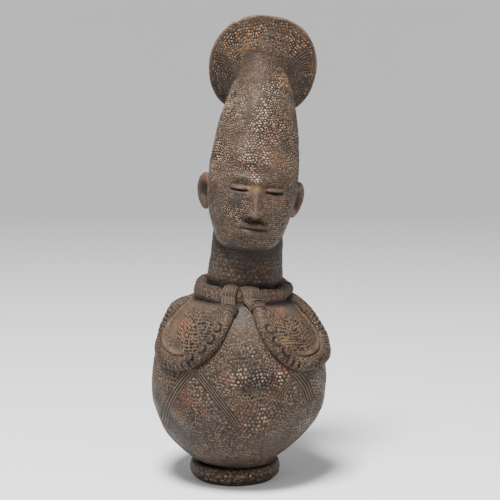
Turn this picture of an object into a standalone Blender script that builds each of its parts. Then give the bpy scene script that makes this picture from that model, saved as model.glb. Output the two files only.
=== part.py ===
# An earthenware bottle in the shape of a person: a round body on a ring foot, a neck, a head
# with a long backswept skull, and a flared disc of hair that is the bottle's mouth.
# One piece of fired clay, hollow from the mouth to the belly. Metres, +Z up, face towards -Y.
import math

import bmesh
import bpy
import numpy as np
from mathutils import Matrix, Vector

# Whole work
LEAN = math.radians(4.0)  # the potter's work leans towards +X above its foot
HEAD_TURN = math.radians(3.0)  # the head looks a little towards +X
FACE_TURN = math.radians(3.0)  # and the features a little more
HEAD_LEAN = math.radians(2.4)  # the head leans a little more than the neck
HEAD_X = -0.0070  # of the head's axis at the root of the neck
WALL = 0.009  # thickness of the fired clay
OVERLAP = 0.005  # how far one hollow runs into the next
WELD = 1e-5  # points closer than this are one

# Ring foot
FOOT_X = 0.0032
FOOT_RADIUS = 0.0537  # at its widest
FOOT_EDGE = 0.0030  # rounding of its edges
FOOT_SWELL = 0.0077  # of its side past the flat underside
FOOT_REST_WIDTH = 0.0110
FOOT_CREST_INSET = 0.0047
FOOT_REST_OUTER = FOOT_RADIUS - FOOT_SWELL  # flat underside, between this radius and the next
FOOT_REST_INNER = FOOT_REST_OUTER - FOOT_REST_WIDTH
FOOT_HOLLOW_RADIUS = FOOT_REST_INNER - FOOT_EDGE
FOOT_CREST_RADIUS = FOOT_RADIUS - FOOT_CREST_INSET  # where it meets the belly

# Belly
BELLY_RADIUS = 0.1040
BELLY_LIFT = 0.0110  # of its lowest point above the ground
BELLY_CENTRE_Z = BELLY_LIFT + BELLY_RADIUS
BELLY_RISE = 0.1175  # from the widest level to the closed top inside the neck
SHOULDER_SQUARENESS = 2.10  # 2 is an ellipse, more is fuller
BELLY_SLACK = 0.27  # the low right of the belly is drawn in, by this share at the very bottom
BELLY_SLACK_POWER = 1.85

# Neck
NECK_RADIUS_LOW = 0.0465
NECK_RADIUS_HIGH = 0.0408
NECK_SINK = 0.0265  # of its root below the top of the belly
NECK_LENGTH = 0.0940
NECK_LOW_Z = BELLY_CENTRE_Z + BELLY_RISE - NECK_SINK
NECK_HIGH_Z = NECK_LOW_Z + NECK_LENGTH  # inside the head
NECK_X = -0.0014
NECK_Y = 0.0120
NECK_WALL_LOW = 0.0085
NECK_WALL_HIGH = 0.0075

# Head: stations from under the chin to the throat of the flare, each with its front point,
# its back point (y, height above the chin) and its half width
CHIN_DROP = 0.0200  # of the chin below the top of the neck
CHIN_Z = NECK_HIGH_Z - CHIN_DROP
HEAD_STATIONS = (
    (-0.0300, -0.0030, 0.0360, -0.0100, 0.0200),
    (-0.0460, 0.0020, 0.0470, -0.0010, 0.0315),
    (-0.0530, 0.0130, 0.0520, 0.0140, 0.0395),
    (-0.0555, 0.0310, 0.0560, 0.0370, 0.0465),
    (-0.0550, 0.0520, 0.0595, 0.0630, 0.0508),
    (-0.0520, 0.0740, 0.0615, 0.0880, 0.0523),
    (-0.0450, 0.1040, 0.0620, 0.1140, 0.0508),
    (-0.0345, 0.1340, 0.0610, 0.1350, 0.0477),
    (-0.0215, 0.1630, 0.0585, 0.1510, 0.0427),
    (-0.0080, 0.1870, 0.0565, 0.1580, 0.0385),
    (0.0040, 0.2035, 0.0545, 0.1620, 0.0338),
    (0.0162, 0.2155, 0.0480, 0.1635, 0.0295),
)
HEAD_SQUARENESS = 2.25  # 2 is an ellipse, more is fuller at the corners
CROWN_BACKING = 0.0085  # more clay behind the hollow, under the flared hair
FACE_ROW = 0.0042  # height of one row of faces on the face
SKULL_ROW = 0.0125  # and above it
FACE_COLUMN = math.radians(6.6)
BACK_COLUMN = math.radians(18.0)
FACE_HALF_ANGLE = math.radians(56.0)

# Face, laid out in thirds from chin to hairline. Its other sizes are in units, with 120 units
# to its length, and its heights are in units above the chin
FACE_LENGTH = 0.1200
FACE_UNIT = FACE_LENGTH / 120
NOSE_BASE = 40.0
BROW = 80.0
MOUTH = 26.4
EYE = 70.0
EYE_SIDE = 20.5  # a fifth of the face's width: one eye, or the gap between the eyes
NOSE_HEIGHT = 16.5
LIP_HALF_WIDTH = 18.0

# Ears, from the brow to the base of the nose
EAR_MIDDLE_Z = CHIN_Z + (0.5 * (BROW + NOSE_BASE) - 2.0) * FACE_UNIT
EAR_LENGTH = 0.0440
EAR_DEPTH = 0.0270
EAR_THICKNESS = 0.0130
EAR_X = 0.0530
EAR_Y = 0.0110
EAR_FLARE = math.radians(38.0)
EAR_TILT = math.radians(8.0)
EAR_HOLLOW_SHARE = 0.66
EAR_HOLLOW_SHIFT = 0.0015  # forwards and up

# Flared hair, turned about an axis that points back and up from the throat
FLARE_AXIS_RISE = math.radians(30.0)
THROAT_Y = 0.0310
THROAT_RISE = 0.1900  # above the chin
THROAT_Z = CHIN_Z + THROAT_RISE
THROAT_RADIUS = 0.0295
THROAT_WALL = 0.0060
RIM_RADIUS = 0.0645
RIM_OVAL = 1.110  # height of the rim over its width
RIM_SQUARENESS = 0.025  # how much further the rim reaches at its corners
RIM_RISE = 0.0040  # of the rim's middle above the throat's, along the disc
FLARE_DEPTH = 0.0265
LIP_THICKNESS = 0.0042
LIP_STEP = 0.0010  # how far the lip stands out past the disc's front
LIP_ROUND = 0.0018
LIP_WIDTH = 0.0050  # of the flat rim round the mouth
MOUTH_BORE_RADIUS = THROAT_RADIUS - THROAT_WALL
MOUTH_BORE_LENGTH = 0.0060
THROAT_ROOT = 0.0100  # how far the flare runs into the head
THROAT_TAPER = 0.0050  # and how much narrower it is there

# Collar of rolled clay at the root of the neck
COLLAR_STAND = 0.0025  # of the roll's middle off the neck
COLLAR_LIFT = 0.0200  # above the root of the neck
COLLAR_RADIUS = NECK_RADIUS_LOW + COLLAR_STAND
COLLAR_ROLL = 0.0108
COLLAR_CENTRE = Vector((-0.0026, 0.0070, NECK_LOW_Z + COLLAR_LIFT))
COLLAR_TIP = math.radians(-2.6)  # its left lies lower than the lean alone would put it
COLLAR_DROOP = math.radians(4.0)

# The two looped ropes on the shoulders: azimuth from the front and height angle, both in
# degrees at the belly's centre, and how far the rope's own centre stands above the belly
ROPE_ROUTES = {
    -1: (
        (14, 62, 0.0015),
        (15, 53, 0.0015),
        (18, 40, 0.0015),
        (24, 29, 0.0015),
        (36, 20, 0.0015),
        (52, 17, 0.0002),
        (72, 20, -0.0025),
        (88, 26, -0.0032),
        (94, 36, 0.0005),
        (97, 47, 0.0035),
        (99, 56, -0.0025),
        (99, 64, -0.0055),
    ),
    1: (
        (14, 66, 0.0015),
        (15, 57, 0.0015),
        (18, 44, 0.0015),
        (24, 34, 0.0015),
        (36, 25, 0.0015),
        (52, 22, 0.0020),
        (72, 24, 0.0030),
        (89, 30, 0.0030),
        (95, 41, 0.0030),
        (98, 54, 0.0030),
        (99, 66, 0.0000),
    ),
}
ROPE_RADIUS = 0.0080
ROPE_POINTS = 25

# The tied ends that hang over the collar and become the ropes
TIE_STRANDS = 3
TIE_THICKNESS = 0.0090
TIE_WIDTH_TOP = {-1: 2.0 * TIE_THICKNESS, 1: 2.9 * TIE_THICKNESS}
TIE_WIDTH_BOUND = 0.0150
TIE_GROOVE = 0.30  # of its thickness
TIE_TOP_ANGLE = math.radians(112)  # round the collar's roll, from its front upwards
TIE_LOW_ANGLE = math.radians(5)
TIE_AZIMUTH = {-1: math.radians(16), 1: math.radians(12)}
BINDING_SHARE = 0.055  # of the rope's length
BINDING_ROLL = 0.0026

# Pressed pellets on the front of the ropes, as shares of the rope's length
PELLETS = {-1: (0.155, 0.21, 0.265, 0.33), 1: (0.18, 0.24, 0.30)}
PELLET_RADIUS = 0.0042
PELLET_HEIGHT = 0.0042
PELLET_ANGLE = math.radians(18)  # towards the inside of the loop

CLAY_COLOUR = (0.075, 0.052, 0.038, 1.0)
SIDES = {-1: "left", 1: "right"}


def clear_scene():
    for obj in list(bpy.data.objects):
        bpy.data.objects.remove(obj, do_unlink=True)


def new_collection(name):
    collection = bpy.data.collections.new(name)
    bpy.context.scene.collection.children.link(collection)
    return collection


def add_object(name, mesh, collection):
    obj = bpy.data.objects.new(name, mesh)
    collection.objects.link(obj)
    return obj


def as_mesh(obj, collection):
    # The evaluated shape as a plain mesh object with welded caps
    graph = bpy.context.evaluated_depsgraph_get()
    mesh = bpy.data.meshes.new_from_object(obj.evaluated_get(graph))
    mesh.transform(obj.matrix_world)
    name = obj.name
    bpy.data.objects.remove(obj, do_unlink=True)
    shape = bmesh.new()
    shape.from_mesh(mesh)
    bmesh.ops.remove_doubles(shape, verts=shape.verts, dist=WELD)
    bmesh.ops.recalc_face_normals(shape, faces=shape.faces)
    shape.to_mesh(mesh)
    shape.free()
    return add_object(name, mesh, collection)


def turned(name, profile, steps, collection, closed=False):
    # A profile of (radius, height) turned about Z by a Screw modifier
    points = [(r, 0.0, z) for r, z in profile]
    edges = [(i, i + 1) for i in range(len(points) - 1)]
    if closed:
        edges.append((len(points) - 1, 0))
    mesh = bpy.data.meshes.new(name)
    mesh.from_pydata(points, edges, [])
    obj = add_object(name, mesh, collection)
    screw = obj.modifiers.new("turn", "SCREW")
    screw.steps = screw.render_steps = steps
    screw.use_merge_vertices = True
    screw.merge_threshold = WELD
    bpy.context.view_layer.update()
    return as_mesh(obj, collection)


def arc(count, first, last):
    return [first + (last - first) * i / (count - 1) for i in range(count)]


def belly_profile(inset, count):
    # From the closed top down the outer side to the closed bottom
    radius = BELLY_RADIUS - inset
    rise = BELLY_RISE - inset
    power = 2 / SHOULDER_SQUARENESS
    upper = [
        (radius * math.sin(a) ** power, BELLY_CENTRE_Z + rise * max(math.cos(a), 0) ** power)
        for a in arc(count, 0, math.pi / 2)
    ]
    lower = [
        (radius * math.cos(a), BELLY_CENTRE_Z - radius * math.sin(a)) for a in arc(count, 0, math.pi / 2)
    ]
    return upper + lower[1:]


def draw_in(obj):
    # The belly's low right side is a little flat, down to the ring foot
    for vertex in obj.data.vertices:
        x, y, z = vertex.co
        down = (BELLY_CENTRE_Z - z) / BELLY_RADIUS
        if x > 0 and down > 0:
            clear_of_foot = float(step(0.85 * FOOT_RADIUS, 1.25 * FOOT_RADIUS, math.hypot(x, y)))
            vertex.co.x -= x * BELLY_SLACK * down**BELLY_SLACK_POWER * clear_of_foot


def belly_underside(radius):
    # Height of the belly's outer surface, below its middle, at a distance from its axis
    return BELLY_CENTRE_Z - math.sqrt(BELLY_RADIUS**2 - radius**2)


def foot_profile():
    # Closed outline of the ring, from its crest down the outer side, under and up the hollow
    inside_belly = belly_underside(FOOT_HOLLOW_RADIUS) + 0.4 * WALL
    crest = belly_underside(FOOT_CREST_RADIUS) - 0.25 * FOOT_EDGE
    return [
        (FOOT_CREST_RADIUS - 1.5 * FOOT_EDGE, crest - 0.4 * FOOT_EDGE),
        (FOOT_CREST_RADIUS, crest),
        (0.5 * (FOOT_RADIUS + FOOT_CREST_RADIUS) + 0.3 * FOOT_EDGE, crest - 0.7 * FOOT_EDGE),
        (FOOT_RADIUS, 0.69 * crest),
        (FOOT_RADIUS - 0.33 * FOOT_EDGE, 0.31 * crest),
        (FOOT_REST_OUTER + FOOT_EDGE, 0.93 * FOOT_EDGE),
        (FOOT_REST_OUTER, 0.0),
        (FOOT_REST_INNER, 0.0),
        (FOOT_HOLLOW_RADIUS, FOOT_EDGE),
        (FOOT_HOLLOW_RADIUS - 0.5 * FOOT_EDGE, inside_belly),
        (FOOT_CREST_RADIUS - 2.33 * FOOT_EDGE, inside_belly + 1.67 * FOOT_EDGE),
    ]


def smooth_rows(rows, where):
    # Values of the station rows at the given places, on a smooth curve through them
    rows = np.array(rows, float)
    where = np.clip(np.asarray(where, float), 0, len(rows) - 1)
    slope = np.gradient(rows, axis=0)
    i = np.minimum(where.astype(int), len(rows) - 2)
    t = (where - i)[:, None]
    h00, h10 = 2 * t**3 - 3 * t**2 + 1, t**3 - 2 * t**2 + t
    h01, h11 = -2 * t**3 + 3 * t**2, t**3 - t**2
    return h00 * rows[i] + h10 * slope[i] + h01 * rows[i + 1] + h11 * slope[i + 1]


def head_ring(station, angles, inset, backing):
    # One ring of the head: angle 0 is the front and grows towards +X
    front_y, front_z, back_y, back_z, half_width = station
    front, back = np.array([0, front_y, CHIN_Z + front_z]), np.array([0, back_y, CHIN_Z + back_z])
    along = (front - back) / np.linalg.norm(front - back)
    front, back, half_width = front - along * inset, back + along * (inset + backing), half_width - inset
    centre = 0.52 * front + 0.48 * back
    power = 2 / HEAD_SQUARENESS
    c, s = np.cos(angles), np.sin(angles)
    c, s = np.sign(c) * np.abs(c) ** power, np.sign(s) * np.abs(s) ** power
    reach = np.where(c > 0, np.linalg.norm(front - centre), np.linalg.norm(back - centre))
    return centre + np.outer(c * reach, along) + np.outer(s * half_width, [1, 0, 0])


def bump(distance):
    # 1 at the middle, falling smoothly to 0 at a distance of about 2
    return np.exp(-np.minimum(distance, 6) ** 2)


def step(low, high, value):
    t = np.clip((value - low) / (high - low), 0, 1)
    return t * t * (3 - 2 * t)


def face_relief(x, z):
    # How far the face stands out of the plain head at (x, z); the lines below are in face units
    side, up = np.abs(x) / FACE_UNIT, (z - CHIN_Z) / FACE_UNIT
    down = np.clip((BROW - up) / (BROW - NOSE_BASE), 0, 1)
    nose_half = 4.2 + 5.2 * down**1.6
    nose_end = step(NOSE_BASE - 4.5, NOSE_BASE + 1.0, up) * step(BROW + 10, BROW - 4, up)
    nose = (3.0 + (NOSE_HEIGHT - 3.0) * down**1.25) * bump(side / nose_half / 1.15) * nose_end
    wing = 5.5 * bump(np.hypot((side - 8.8) / 4.2, (up - NOSE_BASE - 4.0) / 5.2))
    eye = side - EYE_SIDE
    socket = -4.5 * bump(np.hypot(eye / 15.0, (up - EYE - 1.0) / 9.5))
    lid = 5.8 * bump(np.hypot(eye / 11.2, (up - EYE) / 6.0))
    lash = EYE - 2.2 + 0.10 * eye**2 / EYE_SIDE
    slit = -2.2 * bump((up - lash) / 1.6) * bump(eye / 10.5)
    brow_line = BROW + 3.5 - 0.16 * eye**2 / EYE_SIDE
    brow = 3.0 * bump((up - brow_line) / 5.0) * bump(side / 42)
    cheek = 2.2 * bump(np.hypot((side - 30) / 13, (up - 0.5 * (EYE + NOSE_BASE)) / 12))
    bow = 1.2 * bump((side - 5.5) / 4.5)
    lip_width = bump((side / LIP_HALF_WIDTH) ** 2 * 1.1)
    upper = 5.2 * bump((up - MOUTH - 4.0 - bow) / 4.0) * lip_width
    lower = 6.0 * bump((up - MOUTH + 4.8) / 4.6) * lip_width
    seam = -3.0 * bump((up - MOUTH) / 1.4) * bump(side / LIP_HALF_WIDTH)
    chin = 3.0 * bump(np.hypot(side / 15.0, (up - 9.5) / 8.5))
    return FACE_UNIT * (nose + wing + socket + lid + slit + brow + cheek + upper + lower + seam + chin)


def row_places():
    # Places along the stations where the head has a ring of points: close on the face, wide above
    fine = np.linspace(0, len(HEAD_STATIONS) - 1, 600)
    curve = smooth_rows(HEAD_STATIONS, fine)
    length = np.concatenate([[0], np.cumsum(np.hypot(np.diff(curve[:, 0]), np.diff(curve[:, 1])))])
    places, done = [0.0], 0.0
    while True:
        height = np.interp(done, length, curve[:, 1]) / FACE_UNIT
        done += FACE_ROW + (SKULL_ROW - FACE_ROW) * float(step(BROW + 4, BROW + 30, height))
        if done > length[-1] - 0.5 * SKULL_ROW:
            break
        places.append(float(np.interp(done, length, fine)))
    return places + [float(fine[-1])]


def column_angles():
    front = np.arange(0, FACE_HALF_ANGLE, FACE_COLUMN)
    count = math.ceil((math.pi - front[-1]) / BACK_COLUMN)
    back = np.linspace(front[-1], math.pi, count + 1)[1:]
    half = np.concatenate([front, back])
    return np.concatenate([half, -half[-2:0:-1]])


def loft(name, rings, collection):
    # A closed solid through rings of equally many points, lowest ring first
    shape = bmesh.new()
    rows = [[shape.verts.new(p) for p in ring] for ring in rings]
    for low, high in zip(rows, rows[1:]):
        for i in range(len(low)):
            j = (i + 1) % len(low)
            shape.faces.new((low[i], low[j], high[j], high[i]))
    shape.faces.new(rows[0][::-1])
    shape.faces.new(rows[-1])
    bmesh.ops.recalc_face_normals(shape, faces=shape.faces)
    mesh = bpy.data.meshes.new(name)
    shape.to_mesh(mesh)
    shape.free()
    return add_object(name, mesh, collection)


def head_solid(collection):
    angles = column_angles()
    rings = []
    for station in smooth_rows(HEAD_STATIONS, row_places()):
        ring = head_ring(station, angles, 0.0, 0.0)
        facing = step(0.25, 0.60, np.cos(angles))
        middle = -station[0] * math.tan(FACE_TURN)
        ring[:, 1] -= face_relief(ring[:, 0] - middle, ring[:, 2]) * facing
        rings.append(ring)
    return loft("head", rings, collection)


def head_hollow(collection):
    angles = np.linspace(0, 2 * math.pi, 20, endpoint=False)
    places = arc(10, 1.6, len(HEAD_STATIONS) - 1.25)
    backings = CROWN_BACKING * step(7.5, 9.5, np.array(places))
    stations = smooth_rows(HEAD_STATIONS, places)
    rings = [head_ring(station, angles, WALL, backing) for station, backing in zip(stations, backings)]
    return loft("head_hollow", rings, collection)


def flare_frame():
    # Places a shape turned about Z on the throat: Z runs along the flare, and -Y up the disc
    turn = Matrix.Rotation(FLARE_AXIS_RISE - math.pi / 2, 4, "X")
    return Matrix.Translation((0, THROAT_Y, THROAT_Z)) @ turn


def flare_solid(collection):
    reach = RIM_RADIUS - THROAT_RADIUS - LIP_STEP
    outer = [
        (THROAT_RADIUS + reach * (1 - math.cos(a)), FLARE_DEPTH * math.sin(a))
        for a in arc(8, 0, math.radians(88))
    ]
    rim = FLARE_DEPTH + LIP_THICKNESS
    profile = [
        (0, rim),
        (RIM_RADIUS - LIP_ROUND, rim),
        (RIM_RADIUS - 0.33 * LIP_ROUND, rim - 0.55 * LIP_ROUND),
        (RIM_RADIUS, FLARE_DEPTH + 0.35 * LIP_THICKNESS),
        *outer[::-1],
        (THROAT_RADIUS - THROAT_TAPER, -THROAT_ROOT),
        (0, -THROAT_ROOT),
    ]
    obj = turned("flare", profile, 36, collection)
    shape_rim(obj)
    obj.data.transform(flare_frame())
    return obj


def shape_rim(obj):
    # From the round throat to a rim that is taller than wide, a little square, and set higher.
    # The disc and the mouth behind it take the same shape
    for vertex in obj.data.vertices:
        x, y, z = vertex.co
        rim = float(step(-0.2 * FLARE_DEPTH, FLARE_DEPTH, z))
        corner = math.sin(2 * math.atan2(y, x)) ** 2
        grow = 1 + RIM_SQUARENESS * corner * rim
        vertex.co.x = x * grow
        vertex.co.y = y * grow * (1 + (RIM_OVAL - 1) * rim) - RIM_RISE * rim


def flare_hollow(collection):
    # The mouth: a bore through the throat that opens into a funnel behind the disc
    rim = FLARE_DEPTH + LIP_THICKNESS
    reach = RIM_RADIUS - LIP_WIDTH - MOUTH_BORE_RADIUS
    sweep = math.radians(72)
    funnel = [
        (
            MOUTH_BORE_RADIUS + reach * (1 - math.cos(a)) / (1 - math.cos(sweep)),
            MOUTH_BORE_LENGTH + (rim - MOUTH_BORE_LENGTH) * math.sin(a) / math.sin(sweep),
        )
        for a in arc(6, 0, sweep)
    ]
    slope = (funnel[-1][0] - funnel[-2][0]) / (funnel[-1][1] - funnel[-2][1])
    out = (funnel[-1][0] + OVERLAP * slope, rim + OVERLAP)
    profile = [(0, out[1]), out] + funnel[::-1]
    profile += [(MOUTH_BORE_RADIUS, -0.8 * THROAT_ROOT), (0, -2 * THROAT_ROOT)]
    obj = turned("mouth_hollow", profile, 26, collection)
    shape_rim(obj)
    obj.data.transform(flare_frame())
    return obj


def neck_cone(name, low, high, segments, collection):
    # low and high are (radius, height)
    shape = bmesh.new()
    bmesh.ops.create_cone(
        shape, cap_ends=True, segments=segments, radius1=low[0], radius2=high[0], depth=high[1] - low[1]
    )
    bmesh.ops.translate(shape, verts=shape.verts, vec=(NECK_X, NECK_Y, 0.5 * (low[1] + high[1])))
    mesh = bpy.data.meshes.new(name)
    shape.to_mesh(mesh)
    shape.free()
    return add_object(name, mesh, collection)


def ball(name, size, segments, rings, place, collection):
    # An ellipsoid of the given full size, put in place by a matrix
    shape = bmesh.new()
    bmesh.ops.create_uvsphere(shape, u_segments=segments, v_segments=rings, radius=0.5)
    bmesh.ops.scale(shape, verts=shape.verts, vec=size)
    bmesh.ops.transform(shape, verts=shape.verts, matrix=place)
    mesh = bpy.data.meshes.new(name)
    shape.to_mesh(mesh)
    shape.free()
    return add_object(name, mesh, collection)


def ear(side, clay, hollows):
    turn = Matrix.Rotation(-side * EAR_FLARE, 4, "Z") @ Matrix.Rotation(side * EAR_TILT, 4, "Y")
    place = Matrix.Translation((side * EAR_X, EAR_Y, EAR_MIDDLE_Z)) @ turn
    ball(f"ear_{SIDES[side]}", (EAR_THICKNESS, EAR_DEPTH, EAR_LENGTH), 10, 9, place, clay)
    cup = Matrix.Translation((side * 0.62 * EAR_THICKNESS, -EAR_HOLLOW_SHIFT, EAR_HOLLOW_SHIFT))
    share = EAR_HOLLOW_SHARE
    size = (EAR_THICKNESS * 0.95, EAR_DEPTH * share, EAR_LENGTH * share)
    ball(f"ear_hollow_{SIDES[side]}", size, 8, 6, place @ cup, hollows)


def belly_point(azimuth, height_angle, lift):
    # A point above the belly's surface, at angles from its centre; azimuth 0 is the front
    ca, sa = math.cos(height_angle), math.sin(height_angle)
    rise = BELLY_RISE if height_angle > 0 else BELLY_RADIUS
    power = SHOULDER_SQUARENESS if height_angle > 0 else 2
    reach = ((ca / BELLY_RADIUS) ** power + (abs(sa) / rise) ** power) ** (-1 / power) + lift
    flat = Vector((math.sin(azimuth), -math.cos(azimuth), 0)) * reach * ca
    return flat + Vector((0, 0, BELLY_CENTRE_Z + reach * sa))


def rope_points(side, count):
    path = smooth_rows(ROPE_ROUTES[side], arc(count, 0, len(ROPE_ROUTES[side]) - 1))
    return [belly_point(math.radians(side * a), math.radians(h), stand) for a, h, stand in path]


def rope(side, collection):
    return bent_rod(f"rope_{SIDES[side]}", rope_points(side, ROPE_POINTS), ROPE_RADIUS, 2, collection)


def pellets(side, collection):
    points = rope_points(side, 101)
    centre = Vector((0, 0, BELLY_CENTRE_Z))
    for number, share in enumerate(PELLETS[side], 1):
        i = round(share * 100)
        out = (points[i] - centre).normalized()
        along = (points[i + 1] - points[i - 1]).normalized()
        inward = out.cross(along) * side
        way = (out * math.cos(PELLET_ANGLE) + inward * math.sin(PELLET_ANGLE)).normalized()
        place = Matrix.Translation(points[i] + way * ROPE_RADIUS)
        place = place @ way.to_track_quat("Z", "Y").to_matrix().to_4x4()
        size = (2 * PELLET_RADIUS, 2 * PELLET_RADIUS, PELLET_HEIGHT)
        ball(f"pellet_{SIDES[side]}_{number}", size, 7, 5, place, collection)


def take_active(name, collection):
    # Names the primitive that was just added and moves it to the collection
    obj = bpy.context.active_object
    obj.name = name
    for holder in list(obj.users_collection):
        holder.objects.unlink(obj)
    collection.objects.link(obj)
    return obj


def collar(collection):
    bpy.ops.mesh.primitive_torus_add(
        major_segments=32, minor_segments=8, major_radius=COLLAR_RADIUS, minor_radius=COLLAR_ROLL
    )
    obj = take_active("collar", collection)
    tilt = Matrix.Rotation(COLLAR_TIP, 4, "Y") @ Matrix.Rotation(COLLAR_DROOP, 4, "X")
    obj.data.transform(Matrix.Translation(COLLAR_CENTRE) @ tilt)


def bent_rod(name, points, radius, resolution, collection):
    # A round rod of clay along a line of points, as a closed mesh
    curve = bpy.data.curves.new(name, "CURVE")
    curve.dimensions = "3D"
    curve.bevel_depth = radius
    curve.bevel_resolution = resolution
    curve.use_fill_caps = True
    spline = curve.splines.new("POLY")
    spline.points.add(len(points) - 1)
    for target, point in zip(spline.points, points):
        target.co = (*point, 1.0)
    obj = add_object(name, curve, collection)
    bpy.context.view_layer.update()
    return as_mesh(obj, collection)


def tie_ring(centre, across, normal, width):
    # An oval of clay with grooves between its strands
    ring = []
    for a in arc(21, 0, 2 * math.pi)[:-1]:
        x = 0.5 * width * math.cos(a)
        crest = math.cos(TIE_STRANDS * math.pi * x / width) ** 2
        y = 0.5 * TIE_THICKNESS * math.sin(a) * (1 - TIE_GROOVE * (1 - crest))
        ring.append(centre + across * x + normal * y)
    return ring


def tie(side, collection):
    # Strands that bend over the collar's roll and are bound where the rope begins
    azimuth = side * TIE_AZIMUTH[side]
    out = Vector((math.sin(azimuth), -math.cos(azimuth), 0))
    across = Vector((math.cos(azimuth), math.sin(azimuth), 0))
    up = Vector((0, 0, 1))
    roll_centre = COLLAR_CENTRE + out * COLLAR_RADIUS - up * COLLAR_RADIUS * math.sin(COLLAR_DROOP)
    route = rope_points(side, 101)
    bound = round(BINDING_SHARE * 100)
    path = [
        roll_centre + (out * math.cos(a) + up * math.sin(a)) * COLLAR_ROLL
        for a in arc(5, TIE_TOP_ANGLE, TIE_LOW_ANGLE)
    ]
    path += [path[-1].lerp(route[bound], 0.5) + out * 0.1 * TIE_THICKNESS, route[bound]]
    rings = []
    for i, (before, centre, after) in enumerate(zip([path[0], *path], path, [*path[1:], path[-1]])):
        along = (after - before).normalized()
        normal = across.cross(along).normalized()
        share = i / (len(path) - 1)
        width = TIE_WIDTH_TOP[side] + (TIE_WIDTH_BOUND - TIE_WIDTH_TOP[side]) * share
        rings.append(tie_ring(centre, along.cross(normal).normalized() * -1, normal, width))
    loft(f"tie_{SIDES[side]}", rings, collection)
    binding(side, route, bound, collection)


def binding(side, route, bound, collection):
    # A turn of clay cord round the place where the strands become the rope
    along = (route[bound + 1] - route[bound - 1]).normalized()
    place = Matrix.Translation(route[bound]) @ along.to_track_quat("Z", "Y").to_matrix().to_4x4()
    bpy.ops.mesh.primitive_torus_add(
        major_segments=12,
        minor_segments=6,
        major_radius=ROPE_RADIUS - 0.3 * BINDING_ROLL,
        minor_radius=BINDING_ROLL,
    )
    obj = take_active(f"binding_{SIDES[side]}", collection)
    obj.data.transform(place)


def clay_material():
    material = bpy.data.materials.new("fired_clay")
    material.use_nodes = True
    shader = material.node_tree.nodes["Principled BSDF"]
    shader.inputs["Base Color"].default_value = CLAY_COLOUR
    shader.inputs["Roughness"].default_value = 0.72
    shader.inputs["Metallic"].default_value = 0.0
    material.diffuse_color = CLAY_COLOUR
    return material


def centre_on_origin(solids, others):
    # The middle of the work's box comes over the origin; the foot already stands on z = 0
    corners = np.array([v.co[:2] for obj in solids for v in obj.data.vertices])
    middle = 0.5 * (corners.min(axis=0) + corners.max(axis=0))
    for obj in [*solids, *others]:
        obj.data.transform(Matrix.Translation((-middle[0], -middle[1], 0)))


def hide_helpers(collection):
    for obj in collection.objects:
        obj.hide_render = True
        obj.display_type = "WIRE"


def boolean(obj, name, operation, collection):
    modifier = obj.modifiers.new(name, "BOOLEAN")
    modifier.operation = operation
    modifier.operand_type = "COLLECTION"
    modifier.collection = collection
    modifier.solver = "EXACT"


def main():
    clear_scene()
    work = new_collection("head_jar")
    clay = new_collection("clay_forms")
    hollows = new_collection("hollows")

    belly = turned("jar", belly_profile(0.0, 11), 40, work)
    draw_in(belly)
    draw_in(turned("belly_hollow", belly_profile(WALL, 7), 26, hollows))
    low, high = (NECK_RADIUS_LOW, NECK_LOW_Z), (NECK_RADIUS_HIGH, NECK_HIGH_Z)
    neck_cone("neck", low, high, 32, clay)
    low = (NECK_RADIUS_LOW - NECK_WALL_LOW, NECK_LOW_Z - OVERLAP)
    high = (NECK_RADIUS_HIGH - NECK_WALL_HIGH, NECK_HIGH_Z - OVERLAP)
    neck_cone("neck_hollow", low, high, 26, hollows)
    collar(clay)
    head_parts = [head_solid(clay), flare_solid(clay)]
    head_parts += [head_hollow(hollows), flare_hollow(hollows)]
    for side in SIDES:
        rope(side, clay)
        pellets(side, clay)
        tie(side, clay)
        ear(side, clay, hollows)
    head_parts += [o for o in bpy.data.objects if o.name.startswith("ear_")]

    pivot = Matrix.Translation((0, NECK_Y, NECK_LOW_Z))
    turn = Matrix.Rotation(HEAD_LEAN, 4, "Y") @ Matrix.Rotation(HEAD_TURN, 4, "Z")
    turn = Matrix.Translation((HEAD_X, 0, 0)) @ pivot @ turn @ pivot.inverted()
    for obj in head_parts:
        obj.data.transform(turn)
    for obj in [belly, *clay.objects, *hollows.objects]:
        obj.data.transform(Matrix.Rotation(LEAN, 4, "Y"))
    foot = turned("foot", foot_profile(), 32, clay, closed=True)
    foot.data.transform(Matrix.Translation((FOOT_X, 0, 0)))
    centre_on_origin([belly, *clay.objects], hollows.objects)

    boolean(belly, "add clay forms", "UNION", clay)
    boolean(belly, "hollow out", "DIFFERENCE", hollows)
    hide_helpers(clay)
    hide_helpers(hollows)
    belly.data.materials.append(clay_material())


main()
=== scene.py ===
import math

import bpy
import numpy as np
from mathutils import Matrix, Vector
from mathutils.kdtree import KDTree


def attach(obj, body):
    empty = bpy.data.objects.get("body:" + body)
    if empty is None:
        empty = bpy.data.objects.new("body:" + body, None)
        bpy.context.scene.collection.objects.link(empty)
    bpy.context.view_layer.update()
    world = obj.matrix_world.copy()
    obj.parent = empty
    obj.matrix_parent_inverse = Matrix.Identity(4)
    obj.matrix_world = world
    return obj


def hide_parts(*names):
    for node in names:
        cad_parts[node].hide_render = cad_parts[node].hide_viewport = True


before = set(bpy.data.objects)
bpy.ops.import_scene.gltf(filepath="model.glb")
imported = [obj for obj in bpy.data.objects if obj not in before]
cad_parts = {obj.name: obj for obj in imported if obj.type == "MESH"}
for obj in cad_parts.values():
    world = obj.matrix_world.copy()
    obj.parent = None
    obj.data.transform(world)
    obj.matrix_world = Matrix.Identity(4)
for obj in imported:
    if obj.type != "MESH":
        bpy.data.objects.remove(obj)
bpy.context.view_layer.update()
rng = np.random.default_rng(11)

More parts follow.
